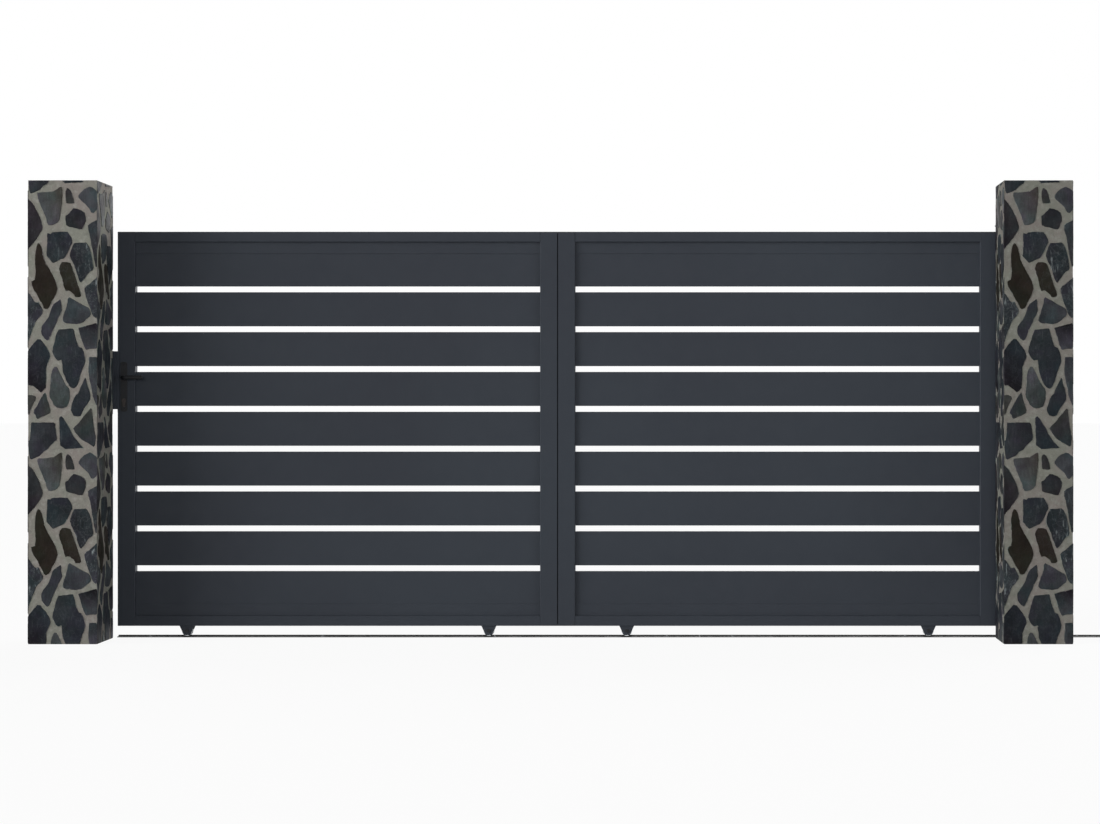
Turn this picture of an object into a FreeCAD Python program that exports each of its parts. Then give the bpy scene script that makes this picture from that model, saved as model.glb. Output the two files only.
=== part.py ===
import FreeCAD, Part
import math
import os
from types import SimpleNamespace

import Sketcher
from FreeCAD import Vector

# Sliding driveway gate: two stone clad pillars, a slatted aluminium leaf in two bolted
# panels that runs behind them on grooved wheels, its ground rail, keep and top guide.
# Origin: centre of the receiving pillar's foot. +X opens the gate, the street is at -Y.

DRIVING_SIZES = [
    ("passage_wide", 3500.0, "clear way between the pillars"),
    ("pillar_wide", 270.0, "pillar along the gate"),
    ("pillar_deep", 270.0, "pillar across the gate"),
    ("pillar_tall", 1792.0, "pillar above the ground"),
    ("leaf_setback", 39.0, "pillar back to the leaf's street face"),
    ("leaf_inset", 8.0, "receiving pillar's inner face to the closed leaf"),
    ("leaf_foot", 45.0, "ground to the underside of the leaf"),
    ("leaf_tall", 1570.0, "leaf from underside to top"),
    ("leaf_deep", 46.0, "stile and rail depth"),
    ("leaf_overlap", 14.0, "second panel past the guide pillar's inner face"),
    ("stile_wide", 70.0, "stile seen from the street"),
    ("stile_wall", 2.5, "stile extrusion wall"),
    ("stile_round", 3.0, "stile corner radius"),
    ("cap_thick", 3.0, "end cap over the tube"),
    ("cap_plug", 12.0, "end cap inside the tube"),
    ("cap_fit", 0.4, "end cap to tube wall"),
    ("rail_tall", 40.0, "flush part of a rail"),
    ("rail_lip", 46.0, "recessed lip of a rail"),
    ("rail_wall", 2.2, "rail extrusion wall"),
    ("rail_round", 1.6, "rail corner radius"),
    ("groove_deep", 8.0, "groove in the lip"),
    ("slat_seat", 5.0, "slat edge inside the groove"),
    ("slat_fit", 0.3, "slat side to groove side"),
    ("slat_thick", 16.0, "slat across the gate"),
    ("slat_wall", 1.5, "slat extrusion wall"),
    ("slat_round", 1.2, "slat corner radius"),
    ("slat_gap", 23.0, "gap between slats"),
    ("slat_count", 9.0, "slats in a panel"),
    ("slat_chambers", 3.0, "chambers in a slat"),
    ("rail_bead", 8.0, "radius of the ground rail's bead"),
    ("base_thick", 3.0, "ground rail's base strip"),
    ("base_wide", 60.0, "ground rail's base strip"),
    ("rail_joint", 0.6, "gap between rail lengths"),
    ("rail_count", 3.0, "rail lengths"),
    ("anchor_edge", 130.0, "first anchor hole from a rail length's end"),
    ("anchor_side", 22.0, "anchor hole from the rail's axis"),
    ("anchor_hole", 3.2, "anchor hole radius"),
    ("anchor_count", 4.0, "anchor holes along a rail length"),
    ("wheel_radius", 21.0, "wheel over its rims"),
    ("wheel_wide", 20.0, "wheel over its rims"),
    ("wheel_rise", 1.0, "rims above the base strip"),
    ("wheel_rim", 5.0, "rim ring outside the recessed web"),
    ("wheel_web", 12.0, "web thickness"),
    ("wheel_hub", 9.0, "hub radius"),
    ("roll_gap", 0.3, "wheel groove to bead"),
    ("wheel_inset", 275.0, "panel end to wheel"),
    ("axle_radius", 4.0, "axle bolt"),
    ("axle_fit", 0.06, "axle bolt to wheel bore"),
    ("axle_head", 7.5, "axle bolt head across its corners, half"),
    ("axle_head_tall", 5.0, "axle bolt head and nut"),
    ("fork_top", 59.0, "fork at the leaf"),
    ("fork_tip", 25.0, "fork at its lower end"),
    ("fork_drop", 37.0, "fork below the leaf"),
    ("fork_cheek", 4.0, "fork plate thickness"),
    ("fork_side", 1.5, "wheel side to cheek"),
    ("wheel_slot", 36.0, "slot for the wheel along the gate"),
    ("stop_base_long", 92.0, "end stop plate along the rail"),
    ("stop_base_wide", 80.0, "end stop plate across the rail"),
    ("stop_thick", 6.0, "end stop plate"),
    ("stop_tall", 110.0, "end stop above the ground"),
    ("stop_hole", 5.5, "end stop anchor hole radius"),
    ("stop_hole_edge", 14.0, "end stop anchor hole from the plate's edge"),
    ("lever_rest", 24.0, "open gate's lever to the guide pillar"),
    ("stop_clear", 5.0, "open leaf to the end stop's buffer"),
    ("buffer_radius", 16.0, "rubber buffer at its foot"),
    ("buffer_tip", 12.0, "rubber buffer at its face"),
    ("buffer_long", 14.0, "end stop's rubber buffer"),
    ("buffer_gap", 0.3, "closed leaf to the keep's buffers"),
    ("keep_low", 908.0, "foot of the keep"),
    ("keep_tall", 231.0, "keep"),
    ("keep_thick", 4.0, "keep plate thickness"),
    ("keep_flange", 76.0, "keep flange on the pillar's back"),
    ("keep_reach", 16.0, "keep's cheeks past the pillar"),
    ("keep_clear", 5.0, "keep cheek to leaf"),
    ("keep_bend", 1.2, "keep edge radius"),
    ("keep_hole", 4.5, "keep screw hole radius"),
    ("keep_hole_edge", 30.0, "keep screw hole from the keep's ends"),
    ("keep_slot_wide", 16.0, "slot for the lock's hook"),
    ("keep_slot_tall", 60.0, "slot for the lock's hook"),
    ("keep_buffer_radius", 11.0, "keep's rubber buffer at its foot"),
    ("keep_buffer_tip", 8.0, "keep's rubber buffer at its face"),
    ("keep_buffer_edge", 22.0, "keep's rubber buffer from the keep's top"),
    ("spindle_inset", 26.0, "leaf's end to the handle's axis"),
    ("spindle_high", 1034.0, "handle's axis above the ground"),
    ("cylinder_drop", 92.0, "handle's axis down to the lock cylinder"),
    ("plate_wide", 26.0, "lock plate"),
    ("plate_thick", 3.0, "lock plate"),
    ("plate_above", 62.0, "lock plate above the handle's axis"),
    ("plate_below", 136.0, "lock plate below the handle's axis"),
    ("plate_round", 8.0, "lock plate corner radius"),
    ("barrel_radius", 8.5, "lock cylinder's round part"),
    ("barrel_tail", 5.0, "lock cylinder's lower part, half width"),
    ("barrel_drop", 19.5, "lock cylinder's round part to its tail"),
    ("barrel_proud", 2.5, "lock cylinder past the plate"),
    ("lock_fit", 0.3, "clearance round lock pieces"),
    ("case_long", 52.0, "lock case inside the stile"),
    ("case_thick", 18.0, "lock case across the gate"),
    ("case_above", 44.0, "lock case above the handle's axis"),
    ("case_below", 122.0, "lock case below the handle's axis"),
    ("face_wide", 24.0, "lock face plate"),
    ("face_thick", 3.0, "lock face plate"),
    ("face_over", 16.0, "face plate past the case at each end"),
    ("hook_slot_tall", 34.0, "hook slot in the face plate"),
    ("hook_slot_wide", 8.0, "hook slot in the face plate"),
    ("hook_slot_deep", 9.0, "hook slot in the lock case"),
    ("spindle_square", 8.0, "handle's square spindle"),
    ("spindle_play", 1.5, "spindle corner to case hole"),
    ("neck_radius", 9.0, "handle neck"),
    ("neck_fit", 0.3, "handle neck to plate hole"),
    ("neck_step", 6.0, "handle neck past the plate"),
    ("lever_radius", 8.0, "lever bar"),
    ("lever_bend", 16.0, "lever's bend radius"),
    ("lever_reach", 44.0, "lever's axis from the lock plate"),
    ("lever_long", 82.0, "lever's end from the handle's axis"),
    ("lever_tip", 3.5, "rounding of the lever's end"),
    ("guide_low", 1640.0, "underside of the guide's plate"),
    ("guide_thick", 6.0, "guide plate thickness"),
    ("guide_long", 244.0, "guide plate along the gate"),
    ("guide_flange", 100.0, "guide flange up the pillar"),
    ("guide_margin", 12.0, "guide plate from the pillar's inner face"),
    ("guide_edge", 18.0, "outer roller axis to the plate's edge"),
    ("guide_hole", 5.5, "guide screw hole radius"),
    ("guide_hole_edge", 24.0, "guide screw hole from the flange's edge"),
    ("rib_deep", 70.0, "guide rib across the gate"),
    ("rib_tall", 80.0, "guide rib up the flange"),
    ("roller_radius", 17.0, "guide roller"),
    ("roller_tall", 36.0, "guide roller"),
    ("roller_round", 6.0, "barrel rounding of a guide roller"),
    ("roller_gap", 0.3, "guide roller to leaf"),
    ("roller_top", 3.0, "roller's top below the leaf's top"),
    ("roller_inset", 30.0, "first roller pair from the pillar's inner face"),
    ("roller_pitch", 210.0, "roller pair to roller pair"),
    ("stud_radius", 5.0, "roller stud"),
    ("stud_fit", 0.3, "roller bore to stud"),
    ("stud_head", 9.0, "roller stud's head radius"),
    ("stud_head_tall", 5.0, "roller stud's head"),
]


# A length that knows its value and the sheet expression it comes from.
class Term:
    def __init__(self, value, text):
        self.value = value
        self.text = text

    def __add__(self, other):
        other = asTerm(other)
        return Term(self.value + other.value, f"({self.text} + {other.text})")

    def __sub__(self, other):
        other = asTerm(other)
        return Term(self.value - other.value, f"({self.text} - {other.text})")

    def __mul__(self, other):
        other = asTerm(other)
        return Term(self.value * other.value, f"({self.text} * {other.text})")

    def __truediv__(self, other):
        other = asTerm(other)
        return Term(self.value / other.value, f"({self.text} / {other.text})")

    def __neg__(self):
        return Term(-self.value, f"(0 - {self.text})")


def asTerm(item):
    return item if isinstance(item, Term) else Term(float(item), repr(float(item)))


# The other short side of a right triangle.
def legOf(longest, other):
    inside = longest * longest - other * other
    return Term(math.sqrt(inside.value), f"sqrt({inside.text})")


doc = FreeCAD.newDocument("SlidingGate")
sheet = doc.addObject("Spreadsheet::Sheet", "Sizes")
dim = SimpleNamespace()
for row, (alias, value, meaning) in enumerate(DRIVING_SIZES, start=1):
    sheet.set(f"A{row}", alias)
    sheet.set(f"B{row}", str(value))
    sheet.set(f"C{row}", meaning)
    sheet.setAlias(f"B{row}", alias)
    setattr(dim, alias, Term(value, f"Sizes.{alias}"))
doc.recompute()

# Places that several pieces share, all worked out from the driving sizes.
ZERO = asTerm(0)
PARALLEL = 1e-6
leafHalf = dim.leaf_deep / 2
leafAxis = dim.pillar_deep / 2 + dim.leaf_setback + leafHalf
leafStart = dim.pillar_wide / 2 + dim.leaf_inset
leafTop = dim.leaf_foot + dim.leaf_tall
guidePillar = dim.pillar_wide + dim.passage_wide
guideFace = dim.pillar_wide / 2 + dim.passage_wide
panelLong = (dim.passage_wide - dim.leaf_inset + dim.leaf_overlap) / 2
tailStart = leafStart + panelLong * 2
tailEnd = tailStart + dim.stile_wide
slatField = dim.leaf_tall - (dim.rail_tall + dim.rail_lip - dim.slat_seat) * 2
slatTall = (slatField - dim.slat_gap * (dim.slat_count - 1)) / dim.slat_count
slatPitch = slatTall + dim.slat_gap
slatStart = dim.rail_tall + dim.rail_lip - dim.slat_seat
railLong = panelLong - dim.stile_wide * 2
lipHalf = dim.slat_thick / 2 + dim.slat_fit + dim.rail_wall
axleHigh = dim.base_thick + dim.wheel_rise + dim.wheel_radius
slotHalf = dim.wheel_wide / 2 + dim.fork_side
forkHalf = slotHalf + dim.fork_cheek
spindleX = leafStart + dim.spindle_inset
travel = guideFace - dim.lever_rest - dim.lever_long - spindleX
stopStart = tailEnd + travel + dim.stop_clear + dim.buffer_long
lengthPitch = (stopStart - leafStart + dim.rail_joint) / dim.rail_count
plateBack = leafHalf + dim.plate_thick
rollerAxis = leafHalf + dim.roller_gap + dim.roller_radius
rollerLow = leafTop - dim.roller_top - dim.roller_tall


def bind(item, path, term):
    item.setExpression(path, term.text)


# Puts a body or primitive at its place in the gate's frame.
def placeAt(item, across=ZERO, away=ZERO, up=ZERO):
    bind(item, "Placement.Base.x", across)
    bind(item, "Placement.Base.y", away)
    bind(item, "Placement.Base.z", up)


def newBody(label):
    body = doc.addObject("PartDesign::Body", label)
    body.Label = label
    body.AllowCompound = True
    return body


def originPart(body, role):
    return next(item for item in body.Origin.OriginFeatures if item.Role == role)


def newSketch(body, role, lift=ZERO):
    sketch = body.newObject("Sketcher::SketchObject", f"{body.Label}_sketch")
    sketch.AttachmentSupport = [(originPart(body, role), "")]
    sketch.MapMode = "FlatFace"
    bind(sketch, "AttachmentOffset.Base.z", lift)
    return sketch


# Holds one point of a sketch element at an exact place.
def pinPoint(sketch, element, point, across, up):
    for kind, term in (("DistanceX", across), ("DistanceY", up)):
        rule = sketch.addConstraint(Sketcher.Constraint(kind, -1, 1, element, point, term.value))
        bind(sketch, f"Constraints[{rule}]", term)


# The arc from one point to the next, its middle on the given side of the chord.
def arcBetween(start, end, radius, bulge):
    chord = end - start
    side = Vector(-chord.y, chord.x, 0).normalize() * bulge
    rise = math.sqrt(max(radius * radius - chord.Length * chord.Length / 4, 0.0))
    centre = (start + end) / 2 - side * rise
    middle = centre + side * radius
    return Part.Arc(start, middle, end)


# Draws a closed outline. arcs maps a side's number to (radius, bulge), bulge 1 or -1.
def drawLoop(sketch, corners, arcs=None, closed=True):
    arcs = arcs or {}
    first = sketch.GeometryCount
    spots = [Vector(across.value, up.value, 0) for across, up in corners]
    sides = len(corners) if closed else len(corners) - 1
    starts = {}
    ends = {}
    for index in range(sides):
        start = spots[index]
        end = spots[(index + 1) % len(spots)]
        starts[index], ends[index] = 1, 2
        if index in arcs:
            radius, bulge = arcs[index]
            arc = arcBetween(start, end, radius.value, bulge)
            element = sketch.addGeometry(arc, False)
            if (sketch.getPoint(element, 1) - start).Length > (sketch.getPoint(element, 1) - end).Length:
                starts[index], ends[index] = 2, 1
        else:
            sketch.addGeometry(Part.LineSegment(start, end), False)
    for index in range(sides):
        following = (index + 1) % sides
        if closed or following:
            rule = Sketcher.Constraint(
                "Coincident", first + index, ends[index], first + following, starts[following]
            )
            sketch.addConstraint(rule)
        pinPoint(sketch, first + index, starts[index], *corners[index])
    if not closed:
        pinPoint(sketch, first + sides - 1, ends[sides - 1], *corners[-1])
    for index, (radius, bulge) in arcs.items():
        rule = sketch.addConstraint(Sketcher.Constraint("Radius", first + index, radius.value))
        bind(sketch, f"Constraints[{rule}]", radius)


def drawBox(sketch, left, right, low, high):
    drawLoop(sketch, [(left, low), (right, low), (right, high), (left, high)])


def drawCircle(sketch, across, up, radius):
    centre = Vector(across.value, up.value, 0)
    element = sketch.addGeometry(Part.Circle(centre, Vector(0, 0, 1), radius.value), False)
    pinPoint(sketch, element, 3, across, up)
    rule = sketch.addConstraint(Sketcher.Constraint("Radius", element, radius.value))
    bind(sketch, f"Constraints[{rule}]", radius)


def addPad(body, sketch, length, middle=False, reverse=False):
    pad = body.newObject("PartDesign::Pad", f"{body.Label}_pad")
    pad.Profile = sketch
    pad.Midplane = middle
    pad.Reversed = reverse
    bind(pad, "Length", length)
    return pad


def cutThrough(body, sketch):
    pocket = body.newObject("PartDesign::Pocket", f"{body.Label}_pocket")
    pocket.Profile = sketch
    pocket.Type = "ThroughAll"
    pocket.Midplane = True
    return pocket


def cutBand(body, sketch, length):
    pocket = body.newObject("PartDesign::Pocket", f"{body.Label}_pocket")
    pocket.Profile = sketch
    pocket.Midplane = True
    bind(pocket, "Length", length)
    return pocket


# Rounds the edges that run along one axis and pass the given test of their middle point.
def roundEdges(body, base, axis, radius, wanted=lambda middle: True):
    doc.recompute()
    names = []
    for number, edge in enumerate(base.Shape.Edges, start=1):
        if not isinstance(edge.Curve, Part.Line):
            continue
        middle = edge.CenterOfMass
        if abs(abs(edge.Curve.Direction.dot(axis)) - 1) < PARALLEL and wanted(middle):
            names.append(f"Edge{number}")
    fillet = body.newObject("PartDesign::Fillet", f"{body.Label}_fillet")
    fillet.Base = (base, names)
    bind(fillet, "Radius", radius)
    return fillet


def repeatAlong(body, role, count, step):
    pattern = body.newObject("PartDesign::LinearPattern", f"{body.Label}_pattern")
    pattern.TransformMode = "Whole shape"
    pattern.Direction = (originPart(body, role), [""])
    pattern.Mode = "Spacing"
    bind(pattern, "Occurrences", asTerm(count))
    bind(pattern, "Offset", step)
    body.Tip = pattern
    return pattern


ALONG = Vector(1, 0, 0)
ACROSS = Vector(0, 1, 0)
UPWARD = Vector(0, 0, 1)
pieces = []


def keepPiece(item):
    pieces.append(item)
    return item


# The pillars are solid masonry blocks with flat, plain tops.
def makePillar(label, across):
    body = newBody(label)
    sketch = newSketch(body, "XY_Plane")
    wide = dim.pillar_wide / 2
    deep = dim.pillar_deep / 2
    drawBox(sketch, -wide, wide, -deep, deep)
    addPad(body, sketch, dim.pillar_tall)
    placeAt(body, across)
    keepPiece(body)


# One outline of the lock cylinder, grown by a clearance, as three sketches' pads or pockets.
def drawBarrel(body, lift, grow, feature):
    for shape in ("round", "tail", "neck"):
        sketch = newSketch(body, "XZ_Plane")
        if shape == "round":
            drawCircle(sketch, ZERO, lift, dim.barrel_radius + grow)
        elif shape == "tail":
            drawCircle(sketch, ZERO, lift - dim.barrel_drop, dim.barrel_tail + grow)
        else:
            half = dim.barrel_tail + grow
            drawBox(sketch, -half, half, lift - dim.barrel_drop, lift)
        feature(body, sketch)


# A stile is a rounded rectangular tube that stands between its two end caps.
def makeStile(label, across, lock=False):
    body = newBody(label)
    left = -dim.spindle_inset if lock else ZERO
    right = left + dim.stile_wide
    outer = newSketch(body, "XY_Plane")
    drawBox(outer, left, right, -leafHalf, leafHalf)
    tube = addPad(body, outer, dim.leaf_tall - dim.cap_thick * 2)
    roundEdges(body, tube, UPWARD, dim.stile_round)
    inner = newSketch(body, "XY_Plane")
    wall = dim.stile_wall
    drawBox(inner, left + wall, right - wall, -leafHalf + wall, leafHalf - wall)
    cutThrough(body, inner)
    low = dim.leaf_foot + dim.cap_thick
    if lock:
        high = dim.spindle_high - low
        hole = newSketch(body, "XZ_Plane")
        drawCircle(hole, ZERO, high, dim.neck_radius + dim.lock_fit)
        cutThrough(body, hole)
        drawBarrel(body, high - dim.cylinder_drop, dim.lock_fit, cutThrough)
        slot = newSketch(body, "YZ_Plane", -dim.spindle_inset)
        half = dim.case_thick / 2 + dim.lock_fit
        top = high + dim.case_above + dim.lock_fit
        drawBox(slot, -half, half, high - dim.case_below - dim.lock_fit, top)
        cutBand(body, slot, dim.stile_wall * 4)
        across = spindleX
    placeAt(body, across, leafAxis, low)
    keepPiece(body)


# Plastic caps close both ends of every stile: a plate on the tube and a plug inside it.
def makeCaps(label):
    body = newBody(label)
    starts = [leafStart, leafStart + panelLong - dim.stile_wide]
    starts += [leafStart + panelLong, tailStart - dim.stile_wide, tailStart]
    fit = dim.cap_fit
    for low, high, grow in (
        (ZERO, dim.cap_thick, ZERO),
        (dim.cap_thick, dim.cap_thick + dim.cap_plug, dim.stile_wall),
    ):
        for flipped in (False, True):
            floor = dim.leaf_tall - high if flipped else low
            sketch = newSketch(body, "XY_Plane", floor)
            for start in starts:
                left = start + fit + grow
                right = start + dim.stile_wide - fit - grow
                half = leafHalf - fit - grow
                drawBox(sketch, left, right, -half, half)
            addPad(body, sketch, high - low)
    placeAt(body, ZERO, leafAxis, dim.leaf_foot)
    keepPiece(body)


# A rail has a flush hollow part and a narrower lip whose groove holds the edge slat.
def makeRail(label, across, upper, slots):
    body = newBody(label)
    wall = dim.rail_wall
    flush = dim.rail_tall
    tip = dim.rail_tall + dim.rail_lip
    groove = tip - dim.groove_deep
    inside = lipHalf - wall

    def flip(corners):
        if not upper:
            return corners
        return [(away, dim.leaf_tall - up) for away, up in reversed(corners)]

    outer = newSketch(body, "YZ_Plane")
    corners = [(-leafHalf, ZERO), (leafHalf, ZERO), (leafHalf, flush), (lipHalf, flush)]
    corners += [(lipHalf, tip), (inside, tip), (inside, groove), (-inside, groove)]
    corners += [(-inside, tip), (-lipHalf, tip), (-lipHalf, flush), (-leafHalf, flush)]
    drawLoop(outer, flip(corners))
    bar = addPad(body, outer, railLong)
    edge = leafHalf.value - dim.rail_round.value / 2
    roundEdges(body, bar, ALONG, dim.rail_round, lambda middle: abs(middle.y) > edge)
    chambers = newSketch(body, "YZ_Plane")
    half = leafHalf - wall
    low = [(-half, wall), (half, wall), (half, flush - wall), (-half, flush - wall)]
    drawLoop(chambers, flip(low))
    high = [(-inside, flush), (inside, flush), (inside, groove - wall), (-inside, groove - wall)]
    drawLoop(chambers, flip(high))
    cutThrough(body, chambers)
    if slots:
        windows = newSketch(body, "XY_Plane")
        reach = dim.wheel_slot / 2
        for centre in (dim.wheel_inset, panelLong - dim.wheel_inset):
            middle = centre - dim.stile_wide
            drawBox(windows, middle - reach, middle + reach, -slotHalf, slotHalf)
        cutBand(body, windows, wall * 4)
    placeAt(body, across + dim.stile_wide, leafAxis, dim.leaf_foot)
    keepPiece(body)


# A slat is a flat box section with inner webs between its chambers.
def makeSlat(label, across, number):
    body = newBody(label)
    half = dim.slat_thick / 2
    wall = dim.slat_wall
    outer = newSketch(body, "YZ_Plane")
    drawBox(outer, -half, half, ZERO, slatTall)
    bar = addPad(body, outer, railLong)
    roundEdges(body, bar, ALONG, dim.slat_round)
    chambers = newSketch(body, "YZ_Plane")
    room = (slatTall - wall) / dim.slat_chambers - wall
    for chamber in range(int(dim.slat_chambers.value)):
        low = wall + (room + wall) * chamber
        drawBox(chambers, -half + wall, half - wall, low, low + room)
    cutThrough(body, chambers)
    up = dim.leaf_foot + slatStart + slatPitch * number
    placeAt(body, across + dim.stile_wide, leafAxis, up)
    keepPiece(body)


# The ground rail: a half-round bead on a flat strip, in lengths with anchor holes.
def makeGroundRail(label):
    body = newBody(label)
    profile = newSketch(body, "YZ_Plane")
    half = dim.base_wide / 2
    shoulder = legOf(dim.rail_bead, dim.base_thick)
    thick = dim.base_thick
    corners = [(-half, ZERO), (half, ZERO), (half, thick), (shoulder, thick)]
    corners += [(-shoulder, thick), (-half, thick)]
    drawLoop(profile, corners, arcs={3: (dim.rail_bead, -1)})
    addPad(body, profile, lengthPitch - dim.rail_joint)
    holes = newSketch(body, "XY_Plane")
    span = lengthPitch - dim.rail_joint - dim.anchor_edge * 2
    for number in range(int(dim.anchor_count.value)):
        along = dim.anchor_edge + span * number / (dim.anchor_count - 1)
        for away in (-dim.anchor_side, dim.anchor_side):
            drawCircle(holes, along, away, dim.anchor_hole)
    cutThrough(body, holes)
    repeatAlong(body, "X_Axis", dim.rail_count, lengthPitch)
    placeAt(body, leafStart, leafAxis)
    keepPiece(body)


# The end stop: a base plate at the rail's end with an upright and a rib behind it.
def makeEndStop(label):
    body = newBody(label)
    thick = dim.stop_thick
    half = dim.stop_base_wide / 2
    base = newSketch(body, "XY_Plane")
    drawBox(base, ZERO, dim.stop_base_long, -half, half)
    addPad(body, base, thick)
    side = newSketch(body, "XZ_Plane")
    drawBox(side, ZERO, thick, thick, dim.stop_tall)
    addPad(body, side, dim.base_wide, middle=True)
    rib = newSketch(body, "XZ_Plane")
    reach = dim.stop_base_long - dim.stop_hole_edge
    drawLoop(rib, [(thick, thick), (reach, thick), (thick, dim.stop_tall - dim.stop_hole_edge)])
    addPad(body, rib, thick, middle=True)
    holes = newSketch(body, "XY_Plane")
    edge = dim.stop_hole_edge
    for along in (thick + edge, dim.stop_base_long - edge):
        for away in (edge - half, half - edge):
            drawCircle(holes, along, away, dim.stop_hole)
    cutThrough(body, holes)
    placeAt(body, stopStart, leafAxis)
    keepPiece(body)


# The keep: a folded channel on the pillar's back that catches the closing leaf.
def makeKeep(label):
    body = newBody(label)
    thick = dim.keep_thick
    back = dim.pillar_deep / 2
    face = dim.pillar_wide / 2
    front = leafAxis - leafHalf - dim.keep_clear
    rear = leafAxis + leafHalf + dim.keep_clear
    outline = newSketch(body, "XY_Plane")
    corners = [(face - dim.keep_flange, back), (face, back), (face, front - thick)]
    corners += [(face + dim.keep_reach, front - thick), (face + dim.keep_reach, front)]
    corners += [(face, front), (face, rear), (face + dim.keep_reach, rear)]
    corners += [(face + dim.keep_reach, rear + thick), (face - thick, rear + thick)]
    corners += [(face - thick, back + thick), (face - dim.keep_flange, back + thick)]
    drawLoop(outline, corners)
    channel = addPad(body, outline, dim.keep_tall)
    flange = (back + thick * 2).value
    roundEdges(body, channel, UPWARD, dim.keep_bend, lambda middle: middle.y > flange)
    screws = newSketch(body, "XZ_Plane", -(back + thick / 2))
    for up in (dim.keep_hole_edge, dim.keep_tall - dim.keep_hole_edge):
        drawCircle(screws, face - dim.keep_flange / 2, up, dim.keep_hole)
    cutBand(body, screws, thick * 3)
    slot = newSketch(body, "YZ_Plane", face - thick / 2)
    half = dim.keep_slot_wide / 2
    middle = dim.spindle_high - dim.cylinder_drop / 2 - dim.keep_low
    tall = dim.keep_slot_tall / 2
    drawBox(slot, leafAxis - half, leafAxis + half, middle - tall, middle + tall)
    cutBand(body, slot, thick * 3)
    placeAt(body, ZERO, ZERO, dim.keep_low)
    keepPiece(body)


# A rubber buffer is a short cone. One sits in the keep and one on the end stop.
def makeBuffers(label):
    keepFace = dim.pillar_wide / 2
    keepLong = dim.leaf_inset - dim.buffer_gap
    stopHigh = dim.leaf_foot + dim.rail_tall / 2 + dim.buffer_tip / 2
    spots = [
        (keepFace, dim.keep_low + dim.keep_tall - dim.keep_buffer_edge, keepLong, False),
        (stopStart, stopHigh, dim.buffer_long, True),
    ]
    cones = []
    for across, up, length, backward in spots:
        cone = doc.addObject("Part::Cone", f"{label}_cone")
        foot, tip = (dim.keep_buffer_radius, dim.keep_buffer_tip)
        if backward:
            foot, tip = (dim.buffer_radius, dim.buffer_tip)
        bind(cone, "Radius1", foot)
        bind(cone, "Radius2", tip)
        bind(cone, "Height", length)
        turn = -90 if backward else 90
        cone.Placement = FreeCAD.Placement(Vector(), FreeCAD.Rotation(ACROSS, turn))
        placeAt(cone, across, leafAxis, up)
        cones.append(cone)
    fuse = doc.addObject("Part::MultiFuse", label)
    fuse.Label = label
    fuse.Shapes = cones
    keepPiece(fuse)


# A fork is a folded carrier: two tapering cheeks under a slotted top plate.
def makeForks(label):
    body = newBody(label)
    cheek = newSketch(body, "XZ_Plane")
    wide = dim.fork_top / 2
    tip = dim.fork_tip / 2
    drop = dim.fork_drop
    drawLoop(cheek, [(-tip, -drop), (tip, -drop), (wide, ZERO), (-wide, ZERO)])
    addPad(body, cheek, forkHalf * 2, middle=True)
    room = newSketch(body, "XZ_Plane")
    drawBox(room, -dim.fork_top, dim.fork_top, -drop * 2, -dim.fork_cheek)
    cutBand(body, room, slotHalf * 2)
    slot = newSketch(body, "XY_Plane")
    reach = dim.wheel_slot / 2
    drawBox(slot, -reach, reach, -slotHalf, slotHalf)
    cutThrough(body, slot)
    hole = newSketch(body, "XZ_Plane")
    drawCircle(hole, ZERO, axleHigh - dim.leaf_foot, dim.axle_radius + dim.axle_fit)
    cutThrough(body, hole)
    repeatAlong(body, "X_Axis", 2, panelLong - dim.wheel_inset * 2)
    repeatAlong(body, "X_Axis", 2, panelLong)
    placeAt(body, leafStart + dim.wheel_inset, leafAxis, dim.leaf_foot)
    keepPiece(body)


# Axle bolts with a hexagon head on the street side and a nut on the yard side.
def makeAxles(label):
    body = newBody(label)
    shank = newSketch(body, "XZ_Plane")
    drawCircle(shank, ZERO, ZERO, dim.axle_radius)
    addPad(body, shank, forkHalf * 2, middle=True)
    corner = dim.axle_head
    slope = corner * math.cos(math.radians(60))
    high = corner * math.sin(math.radians(60))
    hexagon = [(corner, ZERO), (slope, high), (-slope, high)]
    hexagon += [(-corner, ZERO), (-slope, -high), (slope, -high)]
    for away in (forkHalf, -forkHalf - dim.axle_head_tall):
        head = newSketch(body, "XZ_Plane", away)
        drawLoop(head, hexagon)
        addPad(body, head, dim.axle_head_tall)
    repeatAlong(body, "X_Axis", 2, panelLong - dim.wheel_inset * 2)
    repeatAlong(body, "X_Axis", 2, panelLong)
    placeAt(body, leafStart + dim.wheel_inset, leafAxis, axleHigh)
    keepPiece(body)


# A wheel is turned: two rims, a groove that fits the bead, a recessed web and a hub.
def makeWheel(label, across):
    body = newBody(label)
    profile = newSketch(body, "XY_Plane")
    bore = dim.axle_radius + dim.axle_fit
    half = dim.wheel_wide / 2
    web = dim.wheel_web / 2
    groove = dim.rail_bead + dim.roll_gap
    edge = legOf(groove, axleHigh - dim.wheel_radius)
    inner = dim.wheel_radius - dim.wheel_rim
    corners = [(bore, -half), (dim.wheel_hub, -half), (dim.wheel_hub, -web), (inner, -web)]
    corners += [(inner, -half), (dim.wheel_radius, -half), (dim.wheel_radius, -edge)]
    corners += [(dim.wheel_radius, edge), (dim.wheel_radius, half), (inner, half)]
    corners += [(inner, web), (dim.wheel_hub, web), (dim.wheel_hub, half), (bore, half)]
    drawLoop(profile, corners, arcs={6: (groove, 1)})
    turned = body.newObject("PartDesign::Revolution", f"{label}_turned")
    turned.Profile = profile
    turned.ReferenceAxis = (profile, ["V_Axis"])
    turned.Angle = 360
    placeAt(body, across, leafAxis, axleHigh)
    keepPiece(body)


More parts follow.
